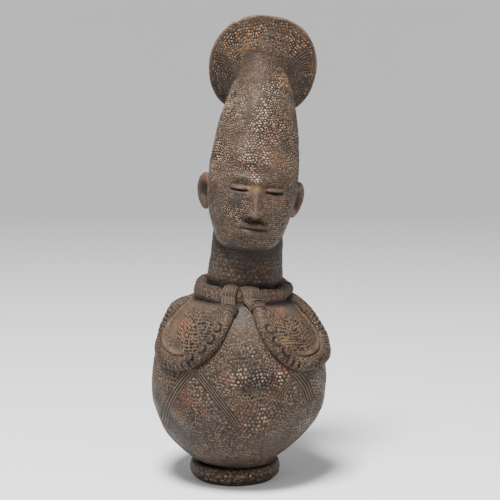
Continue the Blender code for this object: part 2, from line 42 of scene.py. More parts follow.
# How the jar stands: it leans to its left above the foot, and the head turns a little further
stance = {
    "lean": math.radians(4.0),
    "headLean": math.radians(2.4),
    "headTurn": math.radians(3.0),
    "headX": -0.0070,
    "standX": -0.01044,
    "neckRoot": (0, 0.0120, 0.2060),
    "wall": 0.009,
}

# The camera and the size of its picture; some marks are placed by where they are seen
lookFrom = {
    "place": (0.0109, -1.8, 0.52),
    "tilt": math.radians(82.2),
    "lens": 111.0,
    "sensor": 36.0,
    "picture": 500,
}


def deselectAll():
    if bpy.context.object and bpy.context.object.mode != "OBJECT":
        bpy.ops.object.mode_set(mode="OBJECT")
    bpy.ops.object.select_all(action="DESELECT")


def standing():
    return Matrix.Translation((stance["standX"], 0, 0)) @ Matrix.Rotation(stance["lean"], 4, "Y")


def headStanding():
    pivot = Matrix.Translation(stance["neckRoot"])
    turn = Matrix.Rotation(stance["headLean"], 4, "Y") @ Matrix.Rotation(stance["headTurn"], 4, "Z")
    return standing() @ Matrix.Translation((stance["headX"], 0, 0)) @ pivot @ turn @ pivot.inverted()


def moved(points, matrix):
    turn = np.array(matrix)
    return points @ turn[:3, :3].T + turn[:3, 3]


def seenAt(points):
    # Where points show in the picture, in its pixels from the top left
    tilt = lookFrom["tilt"]
    away = points - np.array(lookFrom["place"])
    depth = away @ np.array([0, math.sin(tilt), -math.cos(tilt)])
    up = away @ np.array([0, math.cos(tilt), math.sin(tilt)])
    half = 0.5 * lookFrom["picture"]
    scale = lookFrom["picture"] * lookFrom["lens"] / lookFrom["sensor"] / depth
    return half + away[:, 0] * scale, half - up * scale


def readMesh(items, field, width=1, kind=float):
    values = np.empty(len(items) * width, kind)
    items.foreach_get(field, values)
    return values.reshape(-1, width) if width > 1 else values


def writePoints(mesh, points):
    mesh.vertices.foreach_set("co", points.ravel())
    mesh.update()


def ease(low, high, value):
    t = np.clip((value - low) / (high - low), 0, 1)
    return t * t * (3 - 2 * t)


def between(start, full, fading, end, value):
    # 1 from full to fading, easing to 0 at start and at end
    return ease(start, full, value) * ease(end, fading, value)


def hump(distance):
    return np.exp(-np.minimum(np.abs(distance), 6) ** 2)


def mound(across, up, middle, reach):
    # 1 in the middle of a soft oval and 0 well outside it
    return hump(np.hypot((across - middle[0]) / reach[0], (up - middle[1]) / reach[1]))


def handmade(points, size):
    # Slow unevenness that the potter's fingers leave
    x, y, z = points.T * 1000
    slow = np.sin(x / 17 + np.sin(z / 23) * 1.3) * np.sin(z / 14 + np.sin(y / 19) * 1.7)
    quick = np.sin(x / 7.1 + z / 9.3 + 1.1) * np.sin(y / 8.3 - z / 6.1) * 0.45
    return size * (slow + quick)


def nearest(points, line):
    # Distance from each point to a line of points, and which of them is nearest
    tree = KDTree(len(line))
    for i, place in enumerate(line):
        tree.insert(place, i)
    tree.balance()
    found = [tree.find(point)[1:] for point in points]
    return np.array([d for _, d in found]), np.array([i for i, _ in found])


def alongCurve(rows, where):
    # Values of the given rows on a smooth curve through them
    rows = np.array(rows, float)
    where = np.clip(np.asarray(where, float), 0, len(rows) - 1)
    slope = np.gradient(rows, axis=0)
    i = np.minimum(where.astype(int), len(rows) - 2)
    t = (where - i)[:, None]
    start, startSlope = 2 * t**3 - 3 * t**2 + 1, t**3 - 2 * t**2 + t
    end, endSlope = -2 * t**3 + 3 * t**2, t**3 - t**2
    return start * rows[i] + startSlope * slope[i] + end * rows[i + 1] + endSlope * slope[i + 1]


def alongPath(path, where):
    # Both values of a path of rows, straight from row to row
    return [np.interp(where, np.arange(len(path)), path[:, i]) for i in range(2)]


def evenly(outline, count):
    # Points spaced evenly along an outline
    outline = np.array(outline, float)
    length = np.concatenate([[0], np.cumsum(np.linalg.norm(np.diff(outline, axis=0), axis=1))])
    where = np.linspace(0, length[-1], count)
    return np.column_stack([np.interp(where, length, outline[:, i]) for i in range(outline.shape[1])])


def around(radius, height, azimuth):
    return np.column_stack([radius * np.sin(azimuth), -radius * np.cos(azimuth), height])


def turnOf(column, columns):
    return column * 2 * math.pi / columns


def columnOf(azimuth, columns):
    return np.rint(azimuth / (2 * math.pi) * columns).astype(int) % columns


def lineFrame(line):
    # The direction of a line of points, and a way to make other directions square to it
    along = np.gradient(line, axis=0)
    along /= np.linalg.norm(along, axis=1)[:, None]

    def square(ways):
        ways = ways - along * np.sum(ways * along, axis=1)[:, None]
        return ways / np.linalg.norm(ways, axis=1)[:, None]

    return along, square


# Pressed dots stand on every second point of every second row, in a brick pattern
dots = {"high": 0.00075, "deep": 0.0014, "wander": 0.00050, "leastSize": 0.2, "mostSize": 1.4}


def addPrimitive(name, add, **sizes):
    deselectAll()
    add(**sizes)
    piece = bpy.context.object
    piece.name = name
    piece.data.uv_layers[0].name = "dots"
    return piece, readMesh(piece.data.vertices, "co", 3)


def addBall(name, columns, rows):
    add = bpy.ops.mesh.primitive_uv_sphere_add
    piece, ball = addPrimitive(name, add, segments=columns, ring_count=rows, radius=1)
    row = np.rint(np.arccos(np.clip(ball[:, 2], -1, 1)) / math.pi * rows).astype(int)
    column = columnOf(np.arctan2(ball[:, 0], -ball[:, 1]), columns)
    column[(row == 0) | (row == rows)] = 0
    return piece, column, row


def addRing(name, columns, rollColumns, radius, thick):
    # A torus, with the angle round it and round its roll (0 outwards), and the two columns
    piece, points = addPrimitive(
        name,
        bpy.ops.mesh.primitive_torus_add,
        major_segments=columns,
        minor_segments=rollColumns,
        major_radius=radius,
        minor_radius=thick,
    )
    azimuth = np.arctan2(points[:, 0], -points[:, 1])
    roll = np.arctan2(points[:, 2], np.hypot(points[:, 0], points[:, 1]) - radius)
    return piece, points, azimuth, roll, columnOf(azimuth, columns), columnOf(roll, rollColumns)


def faceOut(piece):
    deselectAll()
    bpy.context.view_layer.objects.active = piece
    piece.select_set(True)
    bpy.ops.object.mode_set(mode="EDIT")
    bpy.ops.mesh.select_all(action="SELECT")
    bpy.ops.mesh.normals_make_consistent(inside=False)
    bpy.ops.object.mode_set(mode="OBJECT")


def markSurface(mesh, column, row, columns, paintedShade, strength=0, phase=0, depth=0):
    # Three maps for the clay: the dots' grid, painted shade with the dots' strength, and scored lines
    corners = readMesh(mesh.loops, "vertex_index", kind=int)
    starts = readMesh(mesh.polygons, "loop_start", kind=int)
    face = np.repeat(np.arange(len(starts)), readMesh(mesh.polygons, "loop_total", kind=int))
    u = column[corners].astype(float)
    widest = np.maximum.reduceat(u, starts)
    u = np.where(widest[face] - u > 0.5 * columns, u + columns, u)
    marks = [(np.zeros(len(column)) + mark)[corners] for mark in (paintedShade, strength, phase, depth)]
    maps = {"dots": (0.5 * u, 0.5 * row[corners]), "wear": marks[:2], "scored": marks[2:]}
    for name, values in maps.items():
        layer = mesh.uv_layers.get(name) or mesh.uv_layers.new(name=name)
        layer.data.foreach_set("uv", np.column_stack(values).ravel())


def drift(column, row, columns, amount):
    # How far the rows and columns of dots wander off a straight grid, in points
    turn = turnOf(column, columns)
    sideways = np.sin(9 * turn + row / 7.3) + 0.6 * np.sin(17 * turn - row / 5.1)
    upwards = np.sin(11 * turn - row / 9.7 + 1.0) + 0.6 * np.sin(5 * turn + row / 6.1)
    return column + amount * sideways, row + amount * upwards


def skin(name, columns, rows, form, matrix, relief=None):
    # A ball whose rows and columns of points are moved to their places on a form. relief gives
    # the height of the surface, the strength of the dots (under 0 they are holes), the painted
    # shade of the place (under 0 it is paler), and the phase and depth of scored lines, where there are any
    piece, column, row = addBall(name, columns, rows)
    mesh = piece.data
    points = form(column, row)
    writePoints(mesh, points)
    faceOut(piece)
    if not relief:
        writePoints(mesh, moved(points, matrix))
        markSurface(mesh, column, row, columns, 0)
        return piece
    normal = readMesh(mesh.vertex_normals, "vector", 3)
    height, strength, *marks = relief(points, column, row)
    centre = (row % 2 == 0) & ((column + row // 2) % 2 == 0) & (row > 1) & (row < rows - 1)
    size = rng.uniform(dots["leastSize"], dots["mostSize"], len(points))
    size = size * np.where(strength > 0, dots["high"], dots["deep"])
    height = height + np.where(centre, strength * size, 0)
    wander = dots["wander"] * np.where(strength < 0, 1.1, 1) * np.clip(np.abs(strength), 0, 1)
    sideways = rng.normal(0, 1, points.shape) * wander[:, None]
    sideways -= normal * np.sum(sideways * normal, axis=1)[:, None]
    sideways[~centre] = 0
    writePoints(mesh, moved(points + normal * height[:, None] + sideways, matrix))
    paintedShade, *scored = marks
    markSurface(mesh, column, row, columns, paintedShade, strength, *scored)
    return piece


clay = []     # forms that are joined
hollows = []  # and those that are taken out
# Columns and rows of the forms that are taken out
rooms = {"belly": (64, 34), "neck": (48, 8), "head": (48, 18), "mouth": (96, 32)}


# The round body
globe = {
    "radius": 0.1040,
    "middle": 0.1150,
    "rise": 0.1175,
    "fullness": 2.10,
    "slack": 0.27,
    "slackPower": 1.85,
    "footRadius": 0.0537,
    "topRadius": 0.0400,
    "lowRadius": 0.0300,
    "roomRadius": 0.004,
    "columns": 312,
    "rows": 128,
}


def globeOutline(inset, first=0.0, last=0.0):
    # Radius and height from the top, at the first radius, down to the bottom at the last
    radius, rise, power = globe["radius"] - inset, globe["rise"] - inset, 2 / globe["fullness"]
    turn = np.linspace(0, math.pi / 2, 200)
    upper = np.column_stack([radius * np.sin(turn) ** power, globe["middle"] + rise * np.cos(turn) ** power])
    lower = np.column_stack([radius * np.cos(turn), globe["middle"] - radius * np.sin(turn)])
    return np.vstack([upper[upper[:, 0] >= first], lower[lower[:, 0] >= last][1:]])


def drawnIn(points):
    x, y, z = points.T
    down = np.clip((globe["middle"] - z) / globe["radius"], 0, None)
    clear = ease(0.85 * globe["footRadius"], 1.25 * globe["footRadius"], np.hypot(x, y))
    points[:, 0] = x - np.where(x > 0, x, 0) * globe["slack"] * down ** globe["slackPower"] * clear
    return points


def globeForm(inset, columns, rows, first, last):
    whole = globeOutline(inset)
    outline = evenly(globeOutline(inset, first, last), rows - 1)
    outline = np.vstack([[0, whole[0, 1]], outline, [0, whole[-1, 1]]])

    def form(column, row):
        away = 1.1 * between(1, 9, rows - 9, rows - 1, row) * (inset == 0)
        across, down = drift(column, row, columns, away)
        return drawnIn(around(*alongPath(outline, down), turnOf(across, columns)))

    return form


# The two looped ropes: azimuth from the front and height angle, in degrees at the body's
# middle, and how far the rope's own centre stands above the body
ropes = {
    "radius": 0.0080,
    "left": (
        (14, 62, 0.0015),
        (15, 53, 0.0015),
        (18, 40, 0.0015),
        (24, 29, 0.0015),
        (36, 20, 0.0015),
        (52, 17, 0.0002),
        (72, 20, -0.0025),
        (88, 26, -0.0032),
        (94, 36, 0.0005),
        (97, 47, 0.0035),
        (99, 56, -0.0025),
        (99, 64, -0.0055),
    ),
    "right": (
        (14, 66, 0.0015),
        (15, 57, 0.0015),
        (18, 44, 0.0015),
        (24, 34, 0.0015),
        (36, 25, 0.0015),
        (52, 22, 0.0020),
        (72, 24, 0.0030),
        (89, 30, 0.0030),
        (95, 41, 0.0030),
        (98, 54, 0.0030),
        (99, 66, 0.0000),
    ),
    "nick": 0.0062,
    "nickDepth": 0.0027,
    "columns": 26,
    "rows": 208,
}
sides = {"left": -1, "right": 1}


def onGlobe(azimuth, heightAngle, lift):
    ca, sa = np.cos(heightAngle), np.sin(heightAngle)
    rise = np.where(sa > 0, globe["rise"], globe["radius"])
    power = np.where(sa > 0, globe["fullness"], 2)
    reach = ((ca / globe["radius"]) ** power + (np.abs(sa) / rise) ** power) ** (-1 / power) + lift
    return around(reach * ca, globe["middle"] + reach * sa, azimuth)


def ropePath(side, count):
    return alongCurve(ropes[side], np.linspace(0, len(ropes[side]) - 1, count))


def ropeLine(side, count):
    azimuth, heightAngle, lift = ropePath(side, 600).T
    return evenly(onGlobe(np.radians(sides[side] * azimuth), np.radians(heightAngle), lift), count)


def insideLoop(side, points):
    # Whether points lie inside the loop that the rope makes with the collar
    azimuth = np.degrees(np.arctan2(points[:, 0], -points[:, 1])) * sides[side]
    height = np.degrees(np.arctan2(points[:, 2] - globe["middle"], np.hypot(points[:, 0], points[:, 1])))
    path = ropePath(side, 60)[:, :2]
    inside = np.zeros(len(points), bool)
    for (a0, h0), (a1, h1) in zip(path, np.roll(path, -1, axis=0)):
        crosses = (h0 > height) != (h1 > height)
        if h0 != h1:
            inside ^= crosses & (azimuth < (a1 - a0) * (height - h0) / (h1 - h0) + a0)
    return inside


# Marks on the front of the body, placed by the picture's pixels. Bands of scored lines: start
# and end, how far the band bows sideways, its half width, and the space between its lines
scoredBands = (
    ((191, 372), (164, 424), 5.0, 5.5, 2.8),
    ((198, 374), (239, 428), 0.0, 5.5, 2.4),
    ((292, 379), (278, 400), 0.0, 4.5, 2.3),
    ((297, 374), (311, 399), -2.0, 6.5, 2.8),
)
# Deep holes: middle, reach and how dense they are
holePatches = (
    ((195, 333), (15, 18), 1.3),
    ((293, 337), (17, 17), 1.1),
    ((174, 388), (9, 18), 0.65),
    ((252, 398), (16, 6), 0.75),
)
boldDots = {"middle": (252, 383), "reach": (24, 12), "more": 0.95}
plainPatch = {"middle": (240, 322), "reach": (12, 26), "less": 0.7}
ringMark = {"middle": (246.3, 389), "radius": 3.1}
# The sunk panel inside each loop, with a ridge beside the rope
panel = {"sunk": 0.0015, "ridge": 0.0012, "ridgeAway": 0.0042, "ridgeHalf": 0.0032}
# The collar round the neck's root, under which the body is bare of dots and darkened with painted shade
collar = {
    "radius": 0.0490,
    "roll": 0.0108,
    "centre": (-0.0026, 0.0070, 0.2260),
    "sunk": 0.0030,
    "tip": math.radians(-2.6),
    "droop": math.radians(4.0),
    "columns": 120,
    "rollColumns": 18,
}


def scoreFront(px, py, front):
    phase, depth = np.zeros(len(px)), np.zeros(len(px))
    for start, end, bow, half, pitch in scoredBands:
        start, end = np.array(start, float), np.array(end, float)
        length = np.linalg.norm(end - start)
        way = (end - start) / length
        t = ((px - start[0]) * way[0] + (py - start[1]) * way[1]) / length
        across = (px - start[0]) * -way[1] + (py - start[1]) * way[0]
        across = across - bow * 4 * np.clip(t, 0, 1) * (1 - np.clip(t, 0, 1))
        here = ease(half, half - 1.2, np.abs(across)) * between(-0.04, 0.04, 0.92, 1.06, t) * front
        phase = np.where(here > 0, across / pitch, phase)
        depth = np.maximum(depth, here)
    radius = ringMark["radius"]
    away = np.hypot(px - ringMark["middle"][0], py - ringMark["middle"][1])
    ring = (away < 2 * radius) & front
    phase = np.where(ring, 0.5 * away / radius, phase)
    return phase, np.where(ring, ease(2 * radius, 1.3 * radius, away), depth)


def globeRelief(points, column, row):
    x, y, z = points.T
    px, py = seenAt(moved(points, standing()))
    front = y < 0
    height = handmade(points, 0.0006)
    # Fine grain low down, faint dots above it and bold ones under the ties
    patchy = 0.75 + 0.5 * np.sin(x * 61 + z * 37) * np.sin(z * 71 - y * 43)
    strength = (0.14 + 0.34 * ease(0.060, 0.100, z)) * patchy
    strength = strength + boldDots["more"] * mound(px, py, boldDots["middle"], boldDots["reach"]) * front
    plain = mound(px, py, plainPatch["middle"], plainPatch["reach"]) * front
    strength = strength * (1 - plainPatch["less"] * plain)
    paintedShade = np.zeros(len(points))
    rope = ropes["radius"]
    for side in sides:
        line = ropeLine(side, 260)
        d, where = nearest(points, line)
        inside = insideLoop(side, points)
        lowPart = between(0.34, 0.46, 0.93, 1.0, where / len(line))
        underCollar = ease(0.219, 0.208, z)
        sunk = inside * ease(rope + 0.0050, rope + 0.0095, d) * underCollar
        uneven = 0.75 + 0.25 * np.sin(where * 0.21) * np.sin(where * 0.057)
        ridge = hump((d - rope - panel["ridgeAway"]) / panel["ridgeHalf"]) * inside * lowPart * uneven
        height = height - panel["sunk"] * sunk + panel["ridge"] * ridge
        strength = np.where(inside, 0.24 * underCollar, strength)
        strength = strength * ease(rope + 0.0005, rope + 0.0050, d)
        # Painted shade where the rope meets the body, lighter inside the loop's low part and paler on the
        # ridge
        paintedShade = paintedShade + 1.05 * ease(rope + 0.0034, rope - 0.0010, d) * (1 - 0.35 * inside * lowPart)
        paintedShade = paintedShade - 0.34 * ridge
    for middle, reach, dense in holePatches:
        holes = mound(px, py, middle, reach) * front
        strength = strength - 2.0 * dense * holes * ease(rope + 0.0030, rope + 0.0060, d)
    strength = np.clip(strength, -1, 1.2)
    cx, cy, cz = collar["centre"]
    reach = np.hypot(x - cx, y - cy) - collar["radius"]
    collarGap = np.hypot(reach, z - cz + collar["sunk"]) - collar["roll"]
    footGap = ease(0.0300, 0.0235, z) * ease(0.062, 0.054, np.hypot(x, y))
    # Painted shade under the collar and above the foot ring
    paintedShade = paintedShade + 1.3 * ease(0.0085, 0.0005, collarGap) + 1.1 * footGap
    phase, depth = scoreFront(px, py, front)
    strength = strength * ease(0.001, 0.010, collarGap) * (1 - 0.9 * depth)
    return height - 0.0004 * depth, strength, paintedShade, phase, depth


columns, rows = globe["columns"], globe["rows"]
form = globeForm(0.0, columns, rows, globe["topRadius"], globe["lowRadius"])
body = skin("headJar", columns, rows, form, standing(), globeRelief)
form = globeForm(stance["wall"], *rooms["belly"], globe["roomRadius"], globe["roomRadius"])
hollows.append(skin("bellyRoom", *rooms["belly"], form, standing()))
print("body")


# The ring foot
foot = {
    "x": 0.0032,
    "radius": 0.0537,
    "edge": 0.0030,
    "restOuter": 0.0460,
    "restInner": 0.0350,
    "crest": 0.0490,
    "crestHeight": 0.0225,
    "columns": 88,
    "rows": 30,
}


def footPath():
    edge, crest, high, rest = foot["edge"], foot["crest"], foot["crestHeight"], foot["restOuter"]
    outer = [
        (crest - 1.5 * edge, high - 0.4 * edge),
        (crest - 0.5 * edge, high + 0.05 * edge),
        (crest, high),
        (0.5 * (foot["radius"] + crest) + 0.3 * edge, high - 0.7 * edge),
        (foot["radius"], 0.69 * high),
        (foot["radius"] - 0.33 * edge, 0.31 * high),
        (rest + edge, 0.93 * edge),
        (rest + 0.2 * edge, 0.1 * edge),
    ]
    outer = alongCurve(outer, np.linspace(0, len(outer) - 1, 90))
    inner = foot["restInner"] - edge
    under = [(rest, 0), (foot["restInner"], 0), (inner, edge), (inner - 0.5 * edge, 0.0190)]
    path = evenly(np.vstack([[(0.018, 0.0180), (0.030, 0.0205)], outer, under]), foot["rows"] - 1)
    path[np.argmin(np.abs(path[:, 0] - rest) + path[:, 1])] = (rest, 0)
    return np.vstack([[0, 0.0165], path, [0, 0.0150]])


def footForm(column, row):
    return around(*footPath()[row].T, turnOf(column, foot["columns"]))


def footRelief(points, column, row):
    radius, z = np.hypot(points[:, 0], points[:, 1]), points[:, 2]
    side = ease(0.002, 0.006, z) * (radius > 0.040)
    # Painted shade under the body at the crest, at the ground and on the inside
    paintedShade = 1.2 * ease(foot["crestHeight"] - 0.0050, foot["crestHeight"] - 0.0005, z)
    paintedShade = paintedShade + 0.5 * ease(0.0035, 0.0005, z) + 0.6 * ease(0.034, 0.031, radius)
    return handmade(points * 1.6, 0.0005) * side, 0.22 * side, paintedShade


footPlace = Matrix.Translation((foot["x"] + stance["standX"], 0, 0))
clay.append(skin("footRing", foot["columns"], foot["rows"], footForm, footPlace, footRelief))
print("foot")


# The neck and the collar rolled round its root
neck = {
    "x": -0.0014,
    "y": 0.0120,
    "low": (0.0465, 0.2060),
    "high": (0.0408, 0.3000),
    "wallLow": 0.0085,
    "wallHigh": 0.0075,
    "roomDrop": 0.005,
    "columns": 80,
    "rows": 36,
}


def tubeForm(low, high, columns, rows):
    # A tapered tube with closed ends, from (radius, height) to (radius, height)
    path = np.vstack([[0, high[1]], evenly([high, low], rows - 1), [0, low[1]]])
    shift = np.array([neck["x"], neck["y"], 0])
    return lambda column, row: around(*path[row].T, turnOf(column, columns)) + shift


def neckRelief(points, column, row):
    x, y, z = points.T
    side = np.hypot(x - neck["x"], y - neck["y"]) > 0.5 * neck["high"][0]
    # Painted shade over the whole neck, deeper at its root and under the head
    paintedShade = 0.52 + 1.0 * ease(0.2440, 0.2330, z) + 0.65 * ease(0.256, 0.286, z)
    return handmade(points * 1.3, 0.0006) * side, 0.30 * side, paintedShade


form = tubeForm(neck["low"], neck["high"], neck["columns"], neck["rows"])
clay.append(skin("neck", neck["columns"], neck["rows"], form, standing(), neckRelief))
lowRoom = (neck["low"][0] - neck["wallLow"], neck["low"][1] - neck["roomDrop"])
highRoom = (neck["high"][0] - neck["wallHigh"], neck["high"][1] - neck["roomDrop"])
form = tubeForm(lowRoom, highRoom, *rooms["neck"])
hollows.append(skin("neckRoom", *rooms["neck"], form, standing()))


def addCollar():
    piece, points, azimuth, roll, column, rollColumn = addRing(
        "collar", collar["columns"], collar["rollColumns"], collar["radius"], collar["roll"]
    )
    normal = readMesh(piece.data.vertex_normals, "vector", 3)
    height = handmade(points * 1.9, 0.0014) + 0.0008 * np.sin(azimuth * 9 + roll)
    # It thins out where it runs into the shoulder
    height = height - 0.0030 * hump((azimuth - 1.15) / 0.45) - 0.0012 * hump((azimuth + 1.5) / 0.3)
    centre = (rollColumn % 2 == 0) & ((column + rollColumn // 2) % 2 == 0)
    height = height + np.where(centre, 0.0006 * rng.uniform(-1, 1, len(points)), 0)
    tilt = Matrix.Rotation(collar["tip"], 4, "Y") @ Matrix.Rotation(collar["droop"], 4, "X")
    place = standing() @ Matrix.Translation(collar["centre"]) @ tilt
    writePoints(piece.data, moved(points + normal * height[:, None], place))
    # Painted shade over the roll, deeper on its underside and on the side towards the neck
    paintedShade = 0.40 + 1.1 * ease(-0.2, -0.9, np.sin(roll)) + 0.8 * ease(-0.3, -0.9, np.cos(roll))
    markSurface(piece.data, column, rollColumn, collar["columns"], paintedShade, 0.20)
    return piece


clay.append(addCollar())
print("neck and collar")


# Ropes with pressed nicks and pellets
pellets = {
    "left": (0.155, 0.21, 0.265, 0.33),
    "right": (0.18, 0.24, 0.30),
    "radius": 0.0046,
    "height": 0.0050,
    "inward": math.radians(18),
    "pressed": 0.0054,
    "columns": 18,
    "rows": 10,
}


def ropeFrames(side, count):
    # The rope's line with its direction, the way out of the body and the way into the loop
    line = ropeLine(side, count)
    along, square = lineFrame(line)
    out = square(line - np.array([0, 0, globe["middle"]]))
    return line, along, out, np.cross(out, along) * sides[side]


def pelletPlaces(side):
    line, along, out, inward = ropeFrames(side, 401)
    picks = [round(share * 400) for share in pellets[side]]
    way = out[picks] * math.cos(pellets["inward"]) + inward[picks] * math.sin(pellets["inward"])
    return list(zip(line[picks] + way * ropes["radius"], way, along[picks]))


def addRope(side):
    columns, rows = ropes["columns"], ropes["rows"]
    line, along, out, inward = ropeFrames(side, rows - 1)
    pitch = np.linalg.norm(line[1] - line[0])

    def form(column, row):
        i = np.clip(row - 1, 0, rows - 2)
        angle = turnOf(column, columns)
        ring = out[i] * np.cos(angle)[:, None] + inward[i] * np.sin(angle)[:, None]
        end = np.where(row == 0, -1, np.where(row == rows, 1, 0))
        wide = np.where(end != 0, 0, ropes["radius"]) * (0.45 + 0.55 * ease(0.0, 0.055, row / rows))
        return line[i] + ring * wide[:, None] + along[i] * (0.002 * end)[:, None]

    def relief(points, column, row):
        share = (row - 1) / (rows - 2)
        angle = turnOf(column, columns)
        distance = (row - 1) * pitch
        lowPart = between(0.24, 0.36, 0.90, 1.0, share)
        # The nicks follow the side that faces the front, and each is a curl
        middle = -0.75 + 1.35 * ease(0.42, 0.66, share)
        off = (angle - middle + math.pi) % (2 * math.pi) - math.pi
        nicked = hump(off / 0.80) * (0.20 + 0.80 * lowPart) * between(0.10, 0.14, 0.76, 0.94, share)
        nicked = nicked * (0.75 + 0.25 * np.sin(distance * 150))
        phase = distance / ropes["nick"] + 0.30 * off**2 + 0.15 * np.sin(distance * 230)
        groove = nicked * ease(0.15, 0.85, np.cos(2 * math.pi * phase))
        height = handmade(points * 1.5, 0.0006) - ropes["nickDepth"] * groove
        # Painted shade in the nicks and on the side towards the body, paler on the side facing into the loop
        # low down
        paleInward = hump((angle - 0.5 * math.pi) / 0.5) * lowPart
        paintedShade = 0.06 + 1.6 * groove + 0.9 * ease(-0.15, -0.75, np.cos(angle)) - 0.18 * paleInward
        # A pressed ring round each pellet, darkened with a painted shadow that is strongest on one side
        for place, _, run in pelletPlaces(side):
            away = points - place
            above = 0.35 + 0.65 * ease(0.0015, -0.0030, away @ run)
            ring = hump((np.linalg.norm(away, axis=1) - pellets["pressed"]) / 0.0011) * above
            height = height - 0.0016 * ring
            paintedShade = paintedShade + 1.5 * ring
        return height, (0.16 + 0.30 * lowPart) * (1 - 0.6 * nicked), paintedShade

    return skin(f"{side}Rope", columns, rows, form, standing(), relief)


def addPellet(name, place, way, along):
    columns, rows = pellets["columns"], pellets["rows"]
    across = np.cross(way, along)

    def form(column, row):
        tilt, turn = row * math.pi / rows, turnOf(column, columns)
        flat = np.sin(tilt) * pellets["radius"]
        high = np.sign(np.cos(tilt)) * np.abs(np.cos(tilt)) ** 0.8 * 0.5 * pellets["height"]
        flat = np.outer(flat * np.cos(turn), along) + np.outer(flat * np.sin(turn), across)
        return place + flat + np.outer(high, way)

    def relief(points, column, row):
        tilt = row * math.pi / rows
        height = handmade(points * 2.2, 0.0003) - 0.0006 * hump(tilt / 0.5)
        # Painted shade round the pellet's edge, where it meets the rope
        return height, np.zeros(len(points)), 0.9 * hump((tilt - 0.5 * math.pi) / 0.35)

    return skin(name, columns, rows, form, standing(), relief)


for side in sides:
    clay.append(addRope(side))
    for number, where in enumerate(pelletPlaces(side), 1):
        clay.append(addPellet(f"{side}Pellet{number}", *where))
print("ropes")


# The tied ends that hang over the collar, and the cord that binds each
ties = {
    "strands": {"left": 5, "right": 8},
    "thick": 0.0094,
    "wideTop": {"left": 0.0190, "right": 0.0270},
    "wideBound": 0.0155,
    "spread": {"left": 0.0, "right": 0.0035},
    "groove": 0.24,
    "topAngle": math.radians(112),
    "lowAngle": math.radians(5),
    "azimuth": {"left": math.radians(16), "right": math.radians(12)},
    "boundAt": 0.055,
    "cord": 0.0013,
    "cordColumns": 36,
    "cordRows": 8,
    "turns": 4,
    "turnStep": 0.0026,
    "columns": 72,
    "rows": 36,
}


def addTie(side):
    columns, rows = ties["columns"], ties["rows"]
    azimuth = sides[side] * ties["azimuth"][side]
    out = np.array([math.sin(azimuth), -math.cos(azimuth), 0])
    across = np.array([math.cos(azimuth), math.sin(azimuth), 0])
    up = np.array([0, 0, 1])
    centre = np.array(collar["centre"]) + (out - up * math.sin(collar["droop"])) * collar["radius"]
    route = ropeLine(side, 101)
    bound = round(ties["boundAt"] * 100)
    turn = np.linspace(ties["topAngle"], ties["lowAngle"], 9)
    path = centre + (np.outer(np.cos(turn), out) + np.outer(np.sin(turn), up)) * collar["roll"]
    halfway = 0.5 * (path[-1] + route[bound]) + out * 0.1 * ties["thick"]
    path = np.vstack([path[::2], halfway, route[bound], route[bound + 2]])
    path = evenly(alongCurve(path, np.linspace(0, 7, 80)), rows - 1)
    along, _ = lineFrame(path)
    normal = np.cross(np.broadcast_to(across, along.shape), along)
    normal /= np.linalg.norm(normal, axis=1)[:, None]
    wideWay = np.cross(normal, along)
    share = np.linspace(0, 1, rows - 1)
    width = ties["wideTop"][side] + (ties["wideBound"] - ties["wideTop"][side]) * share
    path = path + wideWay * (ties["spread"][side] * (1 - share))[:, None]

    def strandsAt(column, row):
        # The nearest place on the path, the place across the strands, and how near a crest is
        i = np.clip(row - 1, 0, rows - 2)
        strand = 0.5 * np.cos(turnOf(column, columns)) * ties["strands"][side]
        strand = strand + 0.25 * np.sin(share[i] * 4 + strand)
        return i, strand, np.abs(np.cos(math.pi * strand))

    def form(column, row):
        i, _, crest = strandsAt(column, row)
        angle = turnOf(column, columns)
        x = 0.5 * width[i] * np.cos(angle)
        y = 0.5 * ties["thick"] * np.sin(angle) * (1 - ties["groove"] * (1 - crest))
        inner = np.where((row == 0) | (row == rows), 0, 1)
        return path[i] + (wideWay[i] * x[:, None] + normal[i] * y[:, None]) * inner[:, None]

    def relief(points, column, row):
        _, strand, crest = strandsAt(column, row)
        # Painted shade between the strands, slightly paler on their crests
        paintedShade = 1.1 * (1 - crest) ** 1.5 - 0.12
        return handmade(points * 2, 0.0003), np.zeros(len(points)), paintedShade, strand * 2, 0.35

    return skin(f"{side}Tie", columns, rows, form, standing(), relief)


def addBinding(side, number):
    line, along, _, _ = ropeFrames(side, 401)
    step = np.linalg.norm(line[1] - line[0])
    at = round(ties["boundAt"] * 400) + round((number - 0.5 * ties["turns"]) * ties["turnStep"] / step)
    radius = ropes["radius"] + 0.2 * ties["cord"]
    name = f"{side}Binding{number + 1}"
    columns, rows = ties["cordColumns"], ties["cordRows"]
    piece, points, _, roll, column, rollColumn = addRing(name, columns, rows, radius, ties["cord"])
    turn = Vector(along[at]).to_track_quat("Z", "Y").to_matrix().to_4x4()
    tip = Matrix.Rotation(math.radians(rng.uniform(-7, 7)), 4, "X")
    writePoints(piece.data, moved(points, standing() @ Matrix.Translation(line[at]) @ turn @ tip))
    # Painted shade on the cord's sides, where the turns meet each other
    markSurface(piece.data, column, rollColumn, columns, 0.9 * np.sin(roll) ** 2)
    return piece


for side in sides:
    clay.append(addTie(side))
    clay += [addBinding(side, number) for number in range(ties["turns"])]
print("ties")


